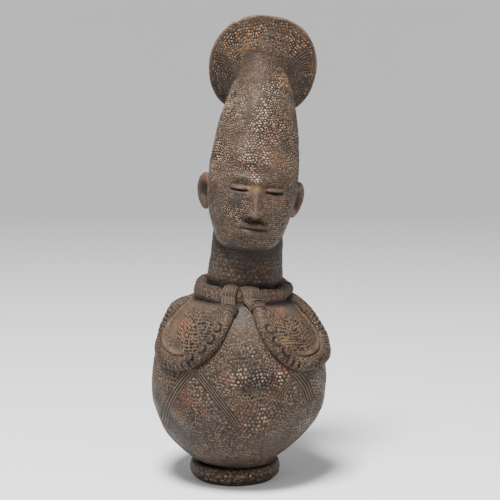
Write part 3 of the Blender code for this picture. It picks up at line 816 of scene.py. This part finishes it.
# The head: stations from under the chin to the throat of the flare, each with its front point,
# its back point (y, height above the chin) and its half width
head = {
    "chin": 0.2800,
    "stations": (
        (-0.0300, -0.0030, 0.0360, -0.0100, 0.0200),
        (-0.0460, 0.0020, 0.0470, -0.0010, 0.0315),
        (-0.0530, 0.0130, 0.0520, 0.0140, 0.0395),
        (-0.0555, 0.0310, 0.0560, 0.0370, 0.0465),
        (-0.0550, 0.0520, 0.0595, 0.0630, 0.0508),
        (-0.0520, 0.0740, 0.0615, 0.0880, 0.0523),
        (-0.0450, 0.1040, 0.0620, 0.1140, 0.0508),
        (-0.0345, 0.1340, 0.0610, 0.1350, 0.0477),
        (-0.0215, 0.1630, 0.0585, 0.1510, 0.0427),
        (-0.0080, 0.1870, 0.0565, 0.1580, 0.0385),
        (0.0040, 0.2035, 0.0545, 0.1620, 0.0338),
        (0.0162, 0.2155, 0.0480, 0.1635, 0.0295),
    ),
    "fullness": 2.25,
    "backing": 0.0085,
    "faceRow": 0.00120,
    "skullRow": 0.00155,
    "faceColumns": 72,
    "backColumns": 108,
    "faceAngle": math.radians(58),
}

# The face is a plain calm one of the maker's own, laid out in thirds from chin to hairline.
# Its sizes are in units, with 120 units from chin to hairline, heights from the chin
face = {
    "unit": 0.0010,
    "turn": math.radians(3.0),
    "noseBase": 40.0,
    "brow": 80.0,
    "mouth": 26.4,
    "eye": 70.0,
    "eyeSide": 20.5,
    "noseHeight": 16.5,
    "lipHalf": 18.0,
    # Soft mounds and hollows: height, middle (to the side, and up) and reach
    "mounds": (
        (5.5, (8.8, 44.0), (4.2, 5.2)),      # wing of the nose
        (-4.4, (5.6, 38.4), (2.4, 1.8)),     # nostril
        (-4.5, (20.5, 71.0), (15.0, 9.5)),   # eye socket
        (6.6, (20.5, 70.0), (11.2, 6.0)),    # lid
        (2.2, (30.0, 55.0), (13.0, 12.0)),   # cheek
        (3.0, (0.0, 9.5), (15.0, 8.5)),      # chin
    ),
}


def headRing(station, angles, inset, backing):
    # Points of rings of the head, one station and one angle for each point
    frontY, frontZ, backY, backZ, halfWidth = station.T
    zero = np.zeros(len(station))
    front = np.column_stack([zero, frontY, head["chin"] + frontZ])
    back = np.column_stack([zero, backY, head["chin"] + backZ])
    along = front - back
    along = along / np.linalg.norm(along, axis=1)[:, None]
    front, back, halfWidth = front - along * inset, back + along * (inset + backing), halfWidth - inset
    centre = 0.52 * front + 0.48 * back
    power = 2 / head["fullness"]
    c, s = (np.sign(part) * np.abs(part) ** power for part in (np.cos(angles), np.sin(angles)))
    reach = np.where(c > 0, np.linalg.norm(front - centre, axis=1), np.linalg.norm(back - centre, axis=1))
    return centre + along * (c * reach)[:, None] + np.outer(s * halfWidth, [1, 0, 0]), centre


def headPlaces():
    # Where the rings are along the stations: close together on the face, wider above it
    fine = np.linspace(0, len(head["stations"]) - 1, 900)
    curve = alongCurve(head["stations"], fine)
    length = np.concatenate([[0], np.cumsum(np.hypot(np.diff(curve[:, 0]), np.diff(curve[:, 1])))])
    places, done = [0.0], 0.0
    while done < length[-1] - 0.5 * head["skullRow"]:
        high = np.interp(done, length, curve[:, 1]) / face["unit"]
        done += head["faceRow"] + (head["skullRow"] - head["faceRow"]) * float(ease(86, 104, high))
        places.append(float(np.interp(done, length, fine)))
    return np.array(places)


def headAngles():
    half = np.linspace(0, head["faceAngle"], head["faceColumns"] // 2 + 1)
    rest = np.linspace(head["faceAngle"], math.pi, head["backColumns"] // 2 + 1)[1:]
    half = np.concatenate([half, rest])
    return np.concatenate([half, 2 * math.pi - half[-2:0:-1]])


def faceShape(x, z):
    # How far the face stands out, how plain it is (1 on eyes, lips and nose) and its painted shade in the
    # eye slits, the lid folds, between the lips and in the nostrils
    side, up = np.abs(x) / face["unit"], (z - head["chin"]) / face["unit"]
    noseBase, browHigh, eyeHigh = face["noseBase"], face["brow"], face["eye"]
    eye, lips = side - face["eyeSide"], up - face["mouth"]
    arch = 0.16 * eye**2 / face["eyeSide"]
    lash = up - eyeHigh + 1.6 - 0.625 * arch
    fold = up - eyeHigh - 5.4 + arch
    shape = sum(high * mound(side, up, middle, reach) for high, middle, reach in face["mounds"])
    down = np.clip((browHigh - up) / (browHigh - noseBase), 0, 1)
    nose = (3.0 + (face["noseHeight"] - 3.0) * down**1.25) * hump(side / (4.2 + 5.2 * down**1.6) / 1.15)
    shape = shape + nose * between(noseBase - 4.5, noseBase + 1.0, browHigh - 4, browHigh + 10, up)
    shape = shape - 4.0 * hump(lash / 1.3) * ease(11.5, 8.5, np.abs(eye))
    shape = shape - 1.8 * hump(fold / 1.4) * ease(13.0, 9.0, np.abs(eye))
    shape = shape + 3.6 * hump((up - browHigh - 3.5 + arch) / 4.2) * hump(side / 42)
    bow = 1.2 * hump((side - 5.5) / 4.5)
    upper = 6.8 * ease(8.8, 4.8, lips - bow) * ease(-1.5, 1.5, lips)
    lower = 7.4 * ease(-10.0, -5.6, lips) * ease(1.5, -1.5, lips)
    shape = shape + (upper + lower) * hump((side / face["lipHalf"]) ** 2 * 1.1)
    shape = shape - 3.0 * hump(lips / 1.2) * ease(17.0, 13.0, side)
    shape = shape - 1.4 * hump(side / 2.6) * hump((up - 35.5) / 3.0)
    plain = 1.5 * mound(eye, up, (0, eyeHigh), (13.5, 8.5)) + 1.5 * mound(side, lips, (0, 0), (20, 10))
    plain = plain + hump(side / 11) * between(noseBase - 6, noseBase, browHigh - 8, browHigh + 4, up)
    dark = 1.2 * hump(lash / 1.9) * hump(eye / 11) + 1.1 * hump(lips / 1.7) * hump(side / 19)
    dark = dark + 0.9 * mound(side, up, (5.6, noseBase - 1.4), (3.0, 2.3))
    dark = dark + 0.4 * hump(fold / 1.6) * hump(eye / 12)
    return shape * face["unit"], np.clip(plain, 0, 1), dark


ringPlaces = headPlaces()
ringAngles = headAngles()
head["rows"] = len(ringPlaces) + 1
head["columns"] = len(ringAngles)


def headSpots(column, row):
    # Station and angle of the head's points; the rows of dots wander above and beside the face
    columns, rows = head["columns"], head["rows"]
    behind = np.abs(ringAngles[column] - math.pi) < 2.0
    away = 0.85 * np.maximum(ease(0.62, 0.48, row / rows), behind)
    across, down = drift(column, row, columns, away * between(2, 12, rows - 12, rows - 2, row))
    ring = np.clip(len(ringPlaces) - down, 0, len(ringPlaces) - 1)
    station = alongCurve(head["stations"], np.interp(ring, np.arange(len(ringPlaces)), ringPlaces))
    wrapped = np.arange(-8, columns + 9)
    angles = ringAngles[wrapped % columns] + 2 * math.pi * (wrapped // columns)
    angle = np.interp(across, wrapped, angles)
    return station, angle, -station[:, 0] * math.tan(face["turn"]), ease(0.25, 0.60, np.cos(angle))


def headForm(column, row):
    station, angle, middle, facing = headSpots(column, row)
    points, centre = headRing(station, angle, 0.0, 0.0)
    points[:, 1] -= faceShape(points[:, 0] - middle, points[:, 2])[0] * facing
    pole = (row == 0) | (row == head["rows"])
    points[pole] = centre[pole]
    return points


def headRelief(points, column, row):
    x, _, z = points.T
    _, angle, middle, facing = headSpots(column, row)
    _, plain, dark = faceShape(x - middle, z)
    up = (z - head["chin"]) / face["unit"]
    underChin = ease(6.0, 0.0, up)
    strength = (1 - plain * facing) * (1 - 0.85 * underChin)
    strength = strength * (0.80 + 0.35 * np.sin(x * 83 + z * 47) * np.sin(z * 61 - x * 39 + 0.8))
    # On the crown the dots thin out where the hair begins to flare
    strength = strength * (1 - 0.15 * ease(176, 200, up))
    line = hump((x - middle) / 0.0024) * between(84, 90, 105, 135, up) * (np.cos(angle) > 0.4)
    # Painted shade in the eye slits, mouth and nostrils, along the middle line, under the chin and over the
    # lower face
    paintedShade = dark * facing + 0.15 * line + 0.55 * underChin + 0.30 * ease(84, 62, up)
    return handmade(points, 0.0005) - 0.0003 * line, strength * (1 - 0.6 * line), paintedShade


def headRoomForm(column, row):
    columns, rows = rooms["head"]
    share = (rows - 1 - np.clip(row, 1, rows - 1)) / (rows - 2)
    where = 1.6 + share * (len(head["stations"]) - 2.85)
    backing = (head["backing"] * ease(7.5, 9.5, where))[:, None]
    station = alongCurve(head["stations"], where)
    points, centre = headRing(station, turnOf(column, columns), stance["wall"], backing)
    pole = (row == 0) | (row == rows)
    points[pole] = centre[pole]
    return points


clay.append(skin("head", head["columns"], head["rows"], headForm, headStanding(), headRelief))
hollows.append(skin("headRoom", *rooms["head"], headRoomForm, headStanding()))
print("head")


# Ears, from the brow to the base of the nose
ear = {
    "length": 0.0440,
    "depth": 0.0270,
    "thick": 0.0130,
    "place": (0.0530, 0.0110, 0.3380),
    "flare": math.radians(38.0),
    "tilt": math.radians(8.0),
    "bowl": 0.0062,
    "columns": 48,
    "rows": 32,
}


def addEar(side):
    sign = sides[side]
    turn = Matrix.Rotation(-sign * ear["flare"], 4, "Z") @ Matrix.Rotation(sign * ear["tilt"], 4, "Y")
    x, y, z = ear["place"]
    place = Matrix.Translation((sign * x, y, z)) @ turn

    def onBall(column, row):
        # The ball's pole points sideways, so that its rings run round the ear and its bowl
        tilt, turn = row * math.pi / ear["rows"], turnOf(column, ear["columns"])
        x, y, z = np.cos(tilt), np.sin(tilt) * np.sin(turn), np.sin(tilt) * np.cos(turn)
        return x, y, z, np.hypot(y * 1.05 + 0.10, (z - 0.06) * 0.95)

    def form(column, row):
        x, y, z, away = onBall(column, row)
        lobe = 1 - 0.20 * ease(-0.2, -1.0, z)
        bowl = np.where(x > 0, ease(0.72, 0.30, away), 0)
        ridge = np.where(x > 0, hump((away - 0.48) / 0.10) * 0.12 * (y > -0.35), 0)
        out = np.abs(x) ** 0.8 * np.sign(x) * 0.5 * ear["thick"] - bowl * ear["bowl"] + ridge * ear["thick"]
        return np.column_stack([sign * out, y * 0.5 * ear["depth"] * lobe, z * 0.5 * ear["length"]])

    def relief(points, column, row):
        x, _, _, away = onBall(column, row)
        # Painted shade, deep in the ear's bowl and lighter over the rest
        paintedShade = np.where(x > 0, 0.9 * ease(0.66, 0.25, away), 0.3)
        return handmade(points * 2, 0.0003), np.zeros(len(points)), paintedShade

    return skin(f"{side}Ear", ear["columns"], ear["rows"], form, headStanding() @ place, relief)


clay += [addEar(side) for side in sides]
print("ears")


# The flared disc of hair, turned about an axis that points back and up from the throat
flare = {
    "rise": math.radians(30.0),
    "throatY": 0.0310,
    "throatZ": 0.4700,
    "throat": 0.0295,
    "rim": 0.0645,
    "oval": 1.110,
    "square": 0.025,
    "riseOfRim": 0.0040,
    "depth": 0.0265,
    "lip": 0.0042,
    "lipStep": 0.0010,
    "lipRound": 0.0018,
    "bore": 0.0235,
    "boreLength": 0.0060,
    "lipWidth": 0.0050,
    "root": 0.0100,
    "taper": 0.0050,
    "columns": 208,
    "rows": 48,
    # Radial grooves: angle from the top of the disc towards +X, and half width
    "grooves": ((-1.35, 0.16), (1.25, 0.22), (0.95, 0.10)),
    "groovePhase": 14,
}
flareTop = flare["depth"] + flare["lip"]


def flarePlace():
    turn = Matrix.Rotation(flare["rise"] - math.pi / 2, 4, "X")
    return headStanding() @ Matrix.Translation((0, flare["throatY"], flare["throatZ"])) @ turn


def shapedRim(points):
    x, y, z = points.T
    rim = ease(-0.2 * flare["depth"], flare["depth"], z)
    grow = 1 + flare["square"] * np.sin(2 * np.arctan2(y, x)) ** 2 * rim
    tall = grow * (1 + (flare["oval"] - 1) * rim)
    return np.column_stack([x * grow, y * tall - flare["riseOfRim"] * rim, z])


def flareOutline():
    # From the rear of the lip over its edge and down the front to the root in the head
    rim, throat, rounding = flare["rim"], flare["throat"], flare["lipRound"]
    turn = np.linspace(math.radians(88), 0, 60)
    reach = rim - throat - flare["lipStep"]
    front = np.column_stack([throat + reach * (1 - np.cos(turn)), flare["depth"] * np.sin(turn)])
    lip = [
        (rim - 0.0100, flareTop),
        (rim - rounding, flareTop),
        (rim - 0.33 * rounding, flareTop - 0.55 * rounding),
        (rim, flare["depth"] + 0.35 * flare["lip"]),
        (rim - 0.4 * flare["lipStep"], flare["depth"] + 0.08 * flare["lip"]),
    ]
    outline = np.vstack([lip, front, [(throat - flare["taper"], -flare["root"])]])
    return np.vstack([[0, flareTop], evenly(outline, flare["rows"] - 1), [0, -flare["root"]]])


flarePath = flareOutline()


def flareForm(column, row):
    rows = flare["rows"]
    away = 0.7 * between(7, 14, rows - 8, rows - 1, row)
    across, down = drift(column, row, flare["columns"], away)
    return shapedRim(around(*alongPath(flarePath, down), turnOf(across, flare["columns"])))


def flareRelief(points, column, row):
    angle = np.arctan2(points[:, 0], -points[:, 1])
    radius = flarePath[row, 0]
    share = np.clip((radius - flare["throat"]) / (flare["rim"] - flare["throat"]), 0, 1)
    frontFace = (points[:, 2] < flare["depth"] + 0.0006) & (row > 3)
    edge = hump((radius - flare["rim"]) / 0.0022)
    patchy = 0.75 + 0.35 * np.sin(angle * 5 + share * 4) * np.sin(angle * 3 - share * 9)
    strength = np.where(frontFace, patchy, 0.0) * (1 - edge) * (1 - 0.5 * ease(0.12, 0.0, share))
    chip = hump((angle + 0.52) / 0.045) * ease(flare["rim"] - 0.004, flare["rim"], radius)
    groove = np.zeros(len(points))
    for middle, wide in flare["grooves"]:
        groove = np.maximum(groove, ease(wide, wide * 0.8, np.abs(angle - middle)))
    groove = groove * between(0.10, 0.22, 0.65, 0.85, share) * frontFace
    # Holes pressed deep in the middle, above the crown
    holes = frontFace * mound(angle, share, (0.20, 0.30), (0.32, 0.15))
    strength = np.clip(strength * (1 - 0.6 * groove) - 1.9 * holes, -1, 1.2)
    # Painted shade near the throat and on the lower sides of the disc, a little in the grooves, paler at the
    # rim's edge
    paintedShade = frontFace * (0.45 * ease(0.30, 0.0, share) + 0.75 * ease(1.5, 2.4, np.abs(angle)))
    paintedShade = np.maximum(paintedShade, 0.2 * groove) - 0.25 * edge
    height = handmade(points * 1.3, 0.0005) - 0.0022 * chip
    return height, strength, paintedShade, angle * flare["groovePhase"], groove


def mouthOutline():
    # The funnel from beyond the rim down to its bore, and on into the head
    sweep = np.linspace(0, math.radians(72), 24)
    bore, beyond = flare["bore"], 0.005
    reach, high = flare["rim"] - flare["lipWidth"] - bore, flareTop - flare["boreLength"]
    radius = bore + reach * (1 - np.cos(sweep)) / (1 - math.cos(sweep[-1]))
    height = flare["boreLength"] + high * np.sin(sweep) / math.sin(sweep[-1])
    slope = (radius[-1] - radius[-2]) / (height[-1] - height[-2])
    out = [(radius[-1] + beyond * slope, flareTop + beyond)]
    low = [(bore, -0.8 * flare["root"]), (bore * 0.6, -1.3 * flare["root"])]
    path = np.vstack([out, np.column_stack([radius, height])[::-1], low])
    path = evenly(path, rooms["mouth"][1] - 1)
    return np.vstack([[0, path[0, 1]], path, [0, -2 * flare["root"]]])


mouthPath = mouthOutline()


def mouthForm(column, row):
    return shapedRim(around(*mouthPath[row].T, turnOf(column, rooms["mouth"][0])))


clay.append(skin("flare", flare["columns"], flare["rows"], flareForm, flarePlace(), flareRelief))
hollows.append(skin("mouthRoom", *rooms["mouth"], mouthForm, flarePlace()))
print("flare")


# Join the clay and hollow it out
def combine(piece, others, operation):
    group = bpy.data.collections.new(operation.lower())
    bpy.context.scene.collection.children.link(group)
    for other in others:
        group.objects.link(other)
    deselectAll()
    bpy.context.view_layer.objects.active = piece
    piece.select_set(True)
    modifier = piece.modifiers.new(operation.lower(), "BOOLEAN")
    modifier.operation = operation
    modifier.operand_type = "COLLECTION"
    modifier.collection = group
    modifier.solver = "MANIFOLD"
    bpy.ops.object.modifier_apply(modifier=modifier.name)
    for other in others:
        bpy.data.objects.remove(other, do_unlink=True)
    bpy.data.collections.remove(group)


combine(body, clay, "UNION")
combine(body, hollows, "DIFFERENCE")
body.data.calc_loop_triangles()
print("joined", len(body.data.loop_triangles), "triangles")

deselectAll()
body.select_set(True)
bpy.context.view_layer.objects.active = body
bpy.ops.object.shade_smooth_by_angle(angle=math.radians(62))


# Fired clay
clayLook = {
    "ground": (0.033, 0.022, 0.016, 1),
    "umber": (0.072, 0.046, 0.030, 1),
    "red": (0.180, 0.056, 0.030, 1),
    "ochre": (0.240, 0.140, 0.060, 1),
    "smoke": (0.050, 0.053, 0.055, 1),
    "tan": (0.330, 0.215, 0.130, 1),
    # Near-black for painted shade in hollows, grooves, holes, between the dots and low on the body
    "shadeBlack": (0.008, 0.005, 0.004, 1),
    "tip": (0.380, 0.245, 0.140, 1),
    "paleTip": (0.640, 0.510, 0.360, 1),
    "orangeTip": (0.480, 0.190, 0.055, 1),
    "dustDark": (0.35, 0.34, 0.33, 1),
    "dustPale": (1.75, 1.75, 1.75, 1),
    "rough": 0.58,
    "grain": 610,
    "pit": 330,
    # Fired colours: size and roughness of the patches, their place, where they start and are
    # full, and how much they cover
    "fired": (
        ("red", 19, 0.65, 3.1, 0.55, 0.68, 0.50),
        ("ochre", 23, 0.60, 7.7, 0.57, 0.75, 0.50),
        ("smoke", 33, 0.65, 12.4, 0.56, 0.66, 0.60),
    ),
    # Patches on the front of the body: colour, x, z and how far they reach
    "patches": (
        ("red", -0.0156, 0.139, 0.009),
        ("red", -0.055, 0.112, 0.010),
        ("red", -0.041, 0.100, 0.008),
        ("smoke", -0.028, 0.120, 0.011),
        ("smoke", -0.033, 0.092, 0.010),
        ("smoke", 0.004, 0.205, 0.014),
    ),
}


def clayMaterial():
    material = bpy.data.materials.new("firedClay")
    material.use_nodes = True
    nodes, links = material.node_tree.nodes, material.node_tree.links
    shader = nodes["Principled BSDF"]

    def node(kind, *values, **settings):
        # A node whose first sockets hold the values, or are linked to them
        made = nodes.new(kind)
        for name, value in settings.items():
            setattr(made, name, value)
        for socket, value in zip(made.inputs, values):
            if isinstance(value, bpy.types.NodeSocket):
                links.new(value, socket)
            elif value is not None:
                socket.default_value = value
        return made

    def calc(operation, *values, clamp=False):
        return node("ShaderNodeMath", *values, operation=operation, use_clamp=clamp).outputs[0]

    def times(first, *others, clamp=False):
        for other in others[:-1]:
            first = calc("MULTIPLY", first, other)
        return calc("MULTIPLY", first, others[-1], clamp=clamp)

    def plus(first, *others):
        for other in others:
            first = calc("ADD", first, other)
        return first

    def length(across, up):
        return calc("SQRT", plus(times(across, across), times(up, up)))

    def fade(*values):
        # A value, where it starts and is full, and what it gives there if that isn't 0 and 1
        ends = (*values, 0.0, 1.0)[:5]
        return node("ShaderNodeMapRange", *ends, interpolation_type="SMOOTHSTEP", clamp=True).outputs[0]

    def noise(scale, detail=3.0, roughness=0.55, shift=0.0):
        place = node("ShaderNodeMapping", here, (shift, shift * 0.7, -shift * 1.3)).outputs[0]
        return node("ShaderNodeTexNoise", place, None, scale, detail, roughness).outputs["Fac"]

    def mix(factor, a, b, blend="MIX"):
        values = (factor, None, None, None, None, None, a, b)
        return node("ShaderNodeMix", *values, data_type="RGBA", blend_type=blend).outputs[2]

    def colour(name, base, factor):
        return mix(factor, base, clayLook[name])

    def uvMap(name):
        return node("ShaderNodeSeparateXYZ", node("ShaderNodeUVMap", uv_map=name).outputs[0]).outputs

    def grainsOf(scale):
        # Distance from the middle of each grain, and three numbers of its own
        cells = node("ShaderNodeTexVoronoi", here, None, scale)
        return cells.outputs["Distance"], node("ShaderNodeSeparateColor", cells.outputs["Color"]).outputs

    here = node("ShaderNodeTexCoord").outputs["Object"]
    x, y, z = node("ShaderNodeSeparateXYZ", here).outputs
    onDisc = fade(z, 0.455, 0.480)
    u, v, _ = uvMap("dots")
    paintedShade, strength, _ = uvMap("wear")
    phase, depth, _ = uvMap("scored")
    standingOut = calc("MAXIMUM", strength, 0.0)

    # Each dot has its own number and tone, and every second row is half a dot to the side
    cellV = calc("ROUND", v)
    u = calc("SUBTRACT", u, times(calc("MODULO", cellV, 2.0), 0.5))
    cellU = calc("ROUND", u)
    cell = node("ShaderNodeCombineXYZ", cellU, cellV).outputs[0]
    chance = node("ShaderNodeTexWhiteNoise", cell, noise_dimensions="2D")
    toneA, toneB, toneC = node("ShaderNodeSeparateColor", chance.outputs["Color"]).outputs
    offU = calc("SUBTRACT", calc("SUBTRACT", u, cellU), times(calc("SUBTRACT", toneA, 0.5), 0.34))
    offV = calc("SUBTRACT", calc("SUBTRACT", v, cellV), times(calc("SUBTRACT", toneB, 0.5), 0.34))
    away = times(length(offU, offV), plus(times(toneC, 0.7), 0.75))
    dot = fade(away, 0.44, 0.16)
    raised = times(dot, standingOut)
    pressed = times(fade(away, 0.41, 0.25), fade(strength, -0.08, -0.45))

    # Grains in the clay, which show where the dots are faint, and small pits
    weak = calc("ABSOLUTE", strength)
    calm = times(fade(weak, 0.80, 0.30), fade(weak, 0.01, 0.10))
    grainAway, grainTone = grainsOf(clayLook["grain"])
    grain = times(fade(grainAway, 0.62, 0.18), calm)
    gap = times(fade(grainAway, 0.42, 0.85), calm)
    pitAway, pitTone = grainsOf(clayLook["pit"])
    pit = times(fade(pitAway, 0.40, 0.22), fade(pitTone[0], 0.45, 0.65), calm)
    pit = times(pit, fade(noise(45, 3, 0.6, 21.0), 0.40, 0.60))

    # Scored lines darkened with painted shade, with pale ridges between them
    stripe = calc("ABSOLUTE", calc("SUBTRACT", calc("FRACT", phase), 0.5))
    scored = times(fade(stripe, 0.35, 0.17), depth, fade(noise(150, 3, 0.7, 31.0), 0.32, 0.52, 0.30, 1.0))
    ridge = times(fade(stripe, 0.36, 0.48), depth)

    # Fired colours in patches, with painted shade darkening the lower half of the body
    base = mix(fade(noise(16, 5), 0.35, 0.65), clayLook["ground"], clayLook["umber"])
    for name, scale, roughness, shift, low, high, most in clayLook["fired"]:
        base = colour(name, base, fade(noise(scale, 5, roughness, shift), low, high, 0.0, most))
    front = fade(y, 0.0, -0.03)
    for name, left, high, reach in clayLook["patches"]:
        far = length(calc("SUBTRACT", x, left), calc("SUBTRACT", z, high))
        ragged = plus(far, times(calc("SUBTRACT", noise(60, 4, 0.7), 0.5), 2.2 * reach))
        patch = times(fade(ragged, 1.3 * reach, 0.3 * reach), front)
        broken = fade(noise(190, 3, 0.7, reach * 900), 0.42, 0.62, 0.10, 0.80)
        base = colour(name, base, times(patch, broken))
    base = colour("shadeBlack", base, fade(z, 0.20, 0.06, 0.0, 0.78))
    dusty = mix(fade(noise(520, 4, 0.75), 0.30, 0.70), clayLook["dustDark"], clayLook["dustPale"])
    base = mix(0.85, base, dusty, "MULTIPLY")
    # Painted shade in the gaps between the grains
    base = colour("shadeBlack", base, times(gap, 0.75))
    grainColour = mix(grainTone[1], clayLook["tip"], clayLook["ochre"])
    base = mix(times(grain, fade(grainTone[0], 0.30, 0.95, 0.0, 0.72)), base, grainColour)

    # Worn tips of the dots, and dark between them: partly the clay's own dark ground, partly painted shade
    base = colour("shadeBlack", base, times(calc("SUBTRACT", 1.0, dot), standingOut, 0.80, clamp=True))
    tip = mix(fade(toneC, 0.60, 0.95), clayLook["tip"], clayLook["paleTip"])
    tip = colour("orangeTip", tip, times(onDisc, fade(toneA, 0.45, 0.70)))
    tip = colour("red", tip, fade(noise(21, 4, 0.6, 5.5), 0.54, 0.64))
    tip = colour("smoke", tip, fade(noise(38, 4, 0.6, 15.5), 0.56, 0.66))
    rubbed = fade(noise(30, 5, 0.65, 9.0), 0.40, 0.60, 0.35, 1.0)
    base = mix(times(raised, fade(toneB, 0.05, 0.70, 0.25, 1.15), rubbed, clamp=True), base, tip)
    wall = times(fade(away, 0.34, 0.52), fade(strength, -0.08, -0.45), 0.15)
    base = colour("tan", base, wall)
    # Painted shade in the pressed holes, the pits and the scored lines
    base = colour("shadeBlack", base, times(calc("MAXIMUM", pressed, pit), 0.93))
    base = colour("shadeBlack", base, times(scored, 0.95))
    base = colour("tip", base, times(ridge, 0.30))
    # Painted shade from the shade map, and paler tan where the map is below 0
    base = colour("shadeBlack", base, times(paintedShade, 0.8, clamp=True))
    base = colour("tan", base, times(paintedShade, -1.0, 0.9, clamp=True))
    links.new(base, shader.inputs["Base Color"])

    rough = clayLook["rough"]
    roughness = fade(noise(40, 3, 0.5, 2.0), 0.3, 0.7, rough - 0.12, rough + 0.12)
    links.new(roughness, shader.inputs["Roughness"])
    shader.inputs["Metallic"].default_value = 0.0
    shader.inputs["Specular IOR Level"].default_value = 0.25

    forms = ((raised, 0.9), (pressed, -1.2), (pit, -0.8), (scored, -0.9), (grain, 0.55))
    fineGrain = ((noise(330, 3, 0.6), 0.45), (noise(900, 2, 0.6), 0.22))
    bump = node("ShaderNodeBump")
    bump.inputs["Strength"].default_value = 1.0
    bump.inputs["Distance"].default_value = 0.0010
    links.new(plus(*(times(part, share) for part, share in forms + fineGrain)), bump.inputs["Height"])
    links.new(bump.outputs[0], shader.inputs["Normal"])
    return material


body.data.materials.clear()
body.data.materials.append(clayMaterial())
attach(body, "root")
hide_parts("jar")
print("clay")


# A pale round studio floor that curves up far from the jar, with painted light: paler by the jar than behind
# it
studio = {
    "flat": 2.8,
    "curve": 1.6,
    "wall": 1.4,
    "thick": 0.1,
    "near": (0.95, 0.95, 0.955, 1),
    "far": (0.68, 0.68, 0.685, 1),
    "reach": 4.4,
    "rough": 0.85,
    "columns": 96,
    "rows": 24,
    "skyColour": (0.98, 0.99, 1.0, 1),
    "sky": 0.165,
}


def floorMaterial():
    material = bpy.data.materials.new("paleFloor")
    material.use_nodes = True
    nodes, links = material.node_tree.nodes, material.node_tree.links
    shader = nodes["Principled BSDF"]
    space, split = nodes.new("ShaderNodeTexCoord"), nodes.new("ShaderNodeSeparateXYZ")
    links.new(space.outputs["Object"], split.inputs[0])
    # Painted light: the floor's colour fades from pale by the jar to darker far behind it
    away = nodes.new("ShaderNodeMapRange")
    away.inputs["From Max"].default_value = studio["reach"]
    links.new(split.outputs[1], away.inputs["Value"])
    tone = nodes.new("ShaderNodeMix")
    tone.data_type = "RGBA"
    tone.inputs[6].default_value = studio["near"]
    tone.inputs[7].default_value = studio["far"]
    links.new(away.outputs[0], tone.inputs[0])
    links.new(tone.outputs[2], shader.inputs["Base Color"])
    shader.inputs["Roughness"].default_value = studio["rough"]
    return material


def addFloor():
    piece, column, row = addBall("floor", studio["columns"], studio["rows"])
    flat, curve, thick = studio["flat"], studio["curve"], studio["thick"]
    turn = np.linspace(0, math.pi / 2, 12)
    rise = np.column_stack([flat + curve * np.sin(turn), curve * (1 - np.cos(turn))])
    outer, top = flat + curve, curve + studio["wall"]
    rim = [(outer, top), (outer + thick, top), (outer + thick, -thick)]
    under = np.column_stack([np.linspace(outer + thick, 0, 7), np.full(7, -thick)])
    path = np.vstack([[(0, 0), (0.6, 0), (1.6, 0)], rise, rim, under])
    writePoints(piece.data, around(*path[row].T, turnOf(column, studio["columns"])))
    faceOut(piece)
    bpy.ops.object.shade_smooth_by_angle(angle=math.radians(40))
    piece.data.materials.clear()
    piece.data.materials.append(floorMaterial())


addFloor()

# Soft lamps: place, size in metres and power in watts
lights = {
    "key": ((-0.35, -0.95, 2.75), 0.8, 198),
    "fill": ((1.5, -1.8, 1.6), 1.4, 9),
    "front": ((-1.3, -2.0, 1.5), 1.2, 9),
}
lightAim = Vector((0, 0, 0.25))
for name, (place, size, power) in lights.items():
    lamp = bpy.data.lights.new(name, "AREA")
    lamp.size = size
    lamp.energy = power
    light = bpy.data.objects.new(name, lamp)
    light.location = place
    light.rotation_euler = (lightAim - Vector(place)).to_track_quat("-Z", "Y").to_euler()
    bpy.context.scene.collection.objects.link(light)

world = bpy.data.worlds.new("studio")
world.use_nodes = True
sky = world.node_tree.nodes["Background"]
sky.inputs["Color"].default_value = studio["skyColour"]
sky.inputs["Strength"].default_value = studio["sky"]
bpy.context.scene.world = world

cameraData = bpy.data.cameras.new("camera")
cameraData.lens = lookFrom["lens"]
cameraData.sensor_width = lookFrom["sensor"]
camera = bpy.data.objects.new("camera", cameraData)
camera.location = lookFrom["place"]
camera.rotation_euler = (lookFrom["tilt"], 0, 0)
bpy.context.scene.collection.objects.link(camera)
bpy.context.scene.camera = camera
print("studio")
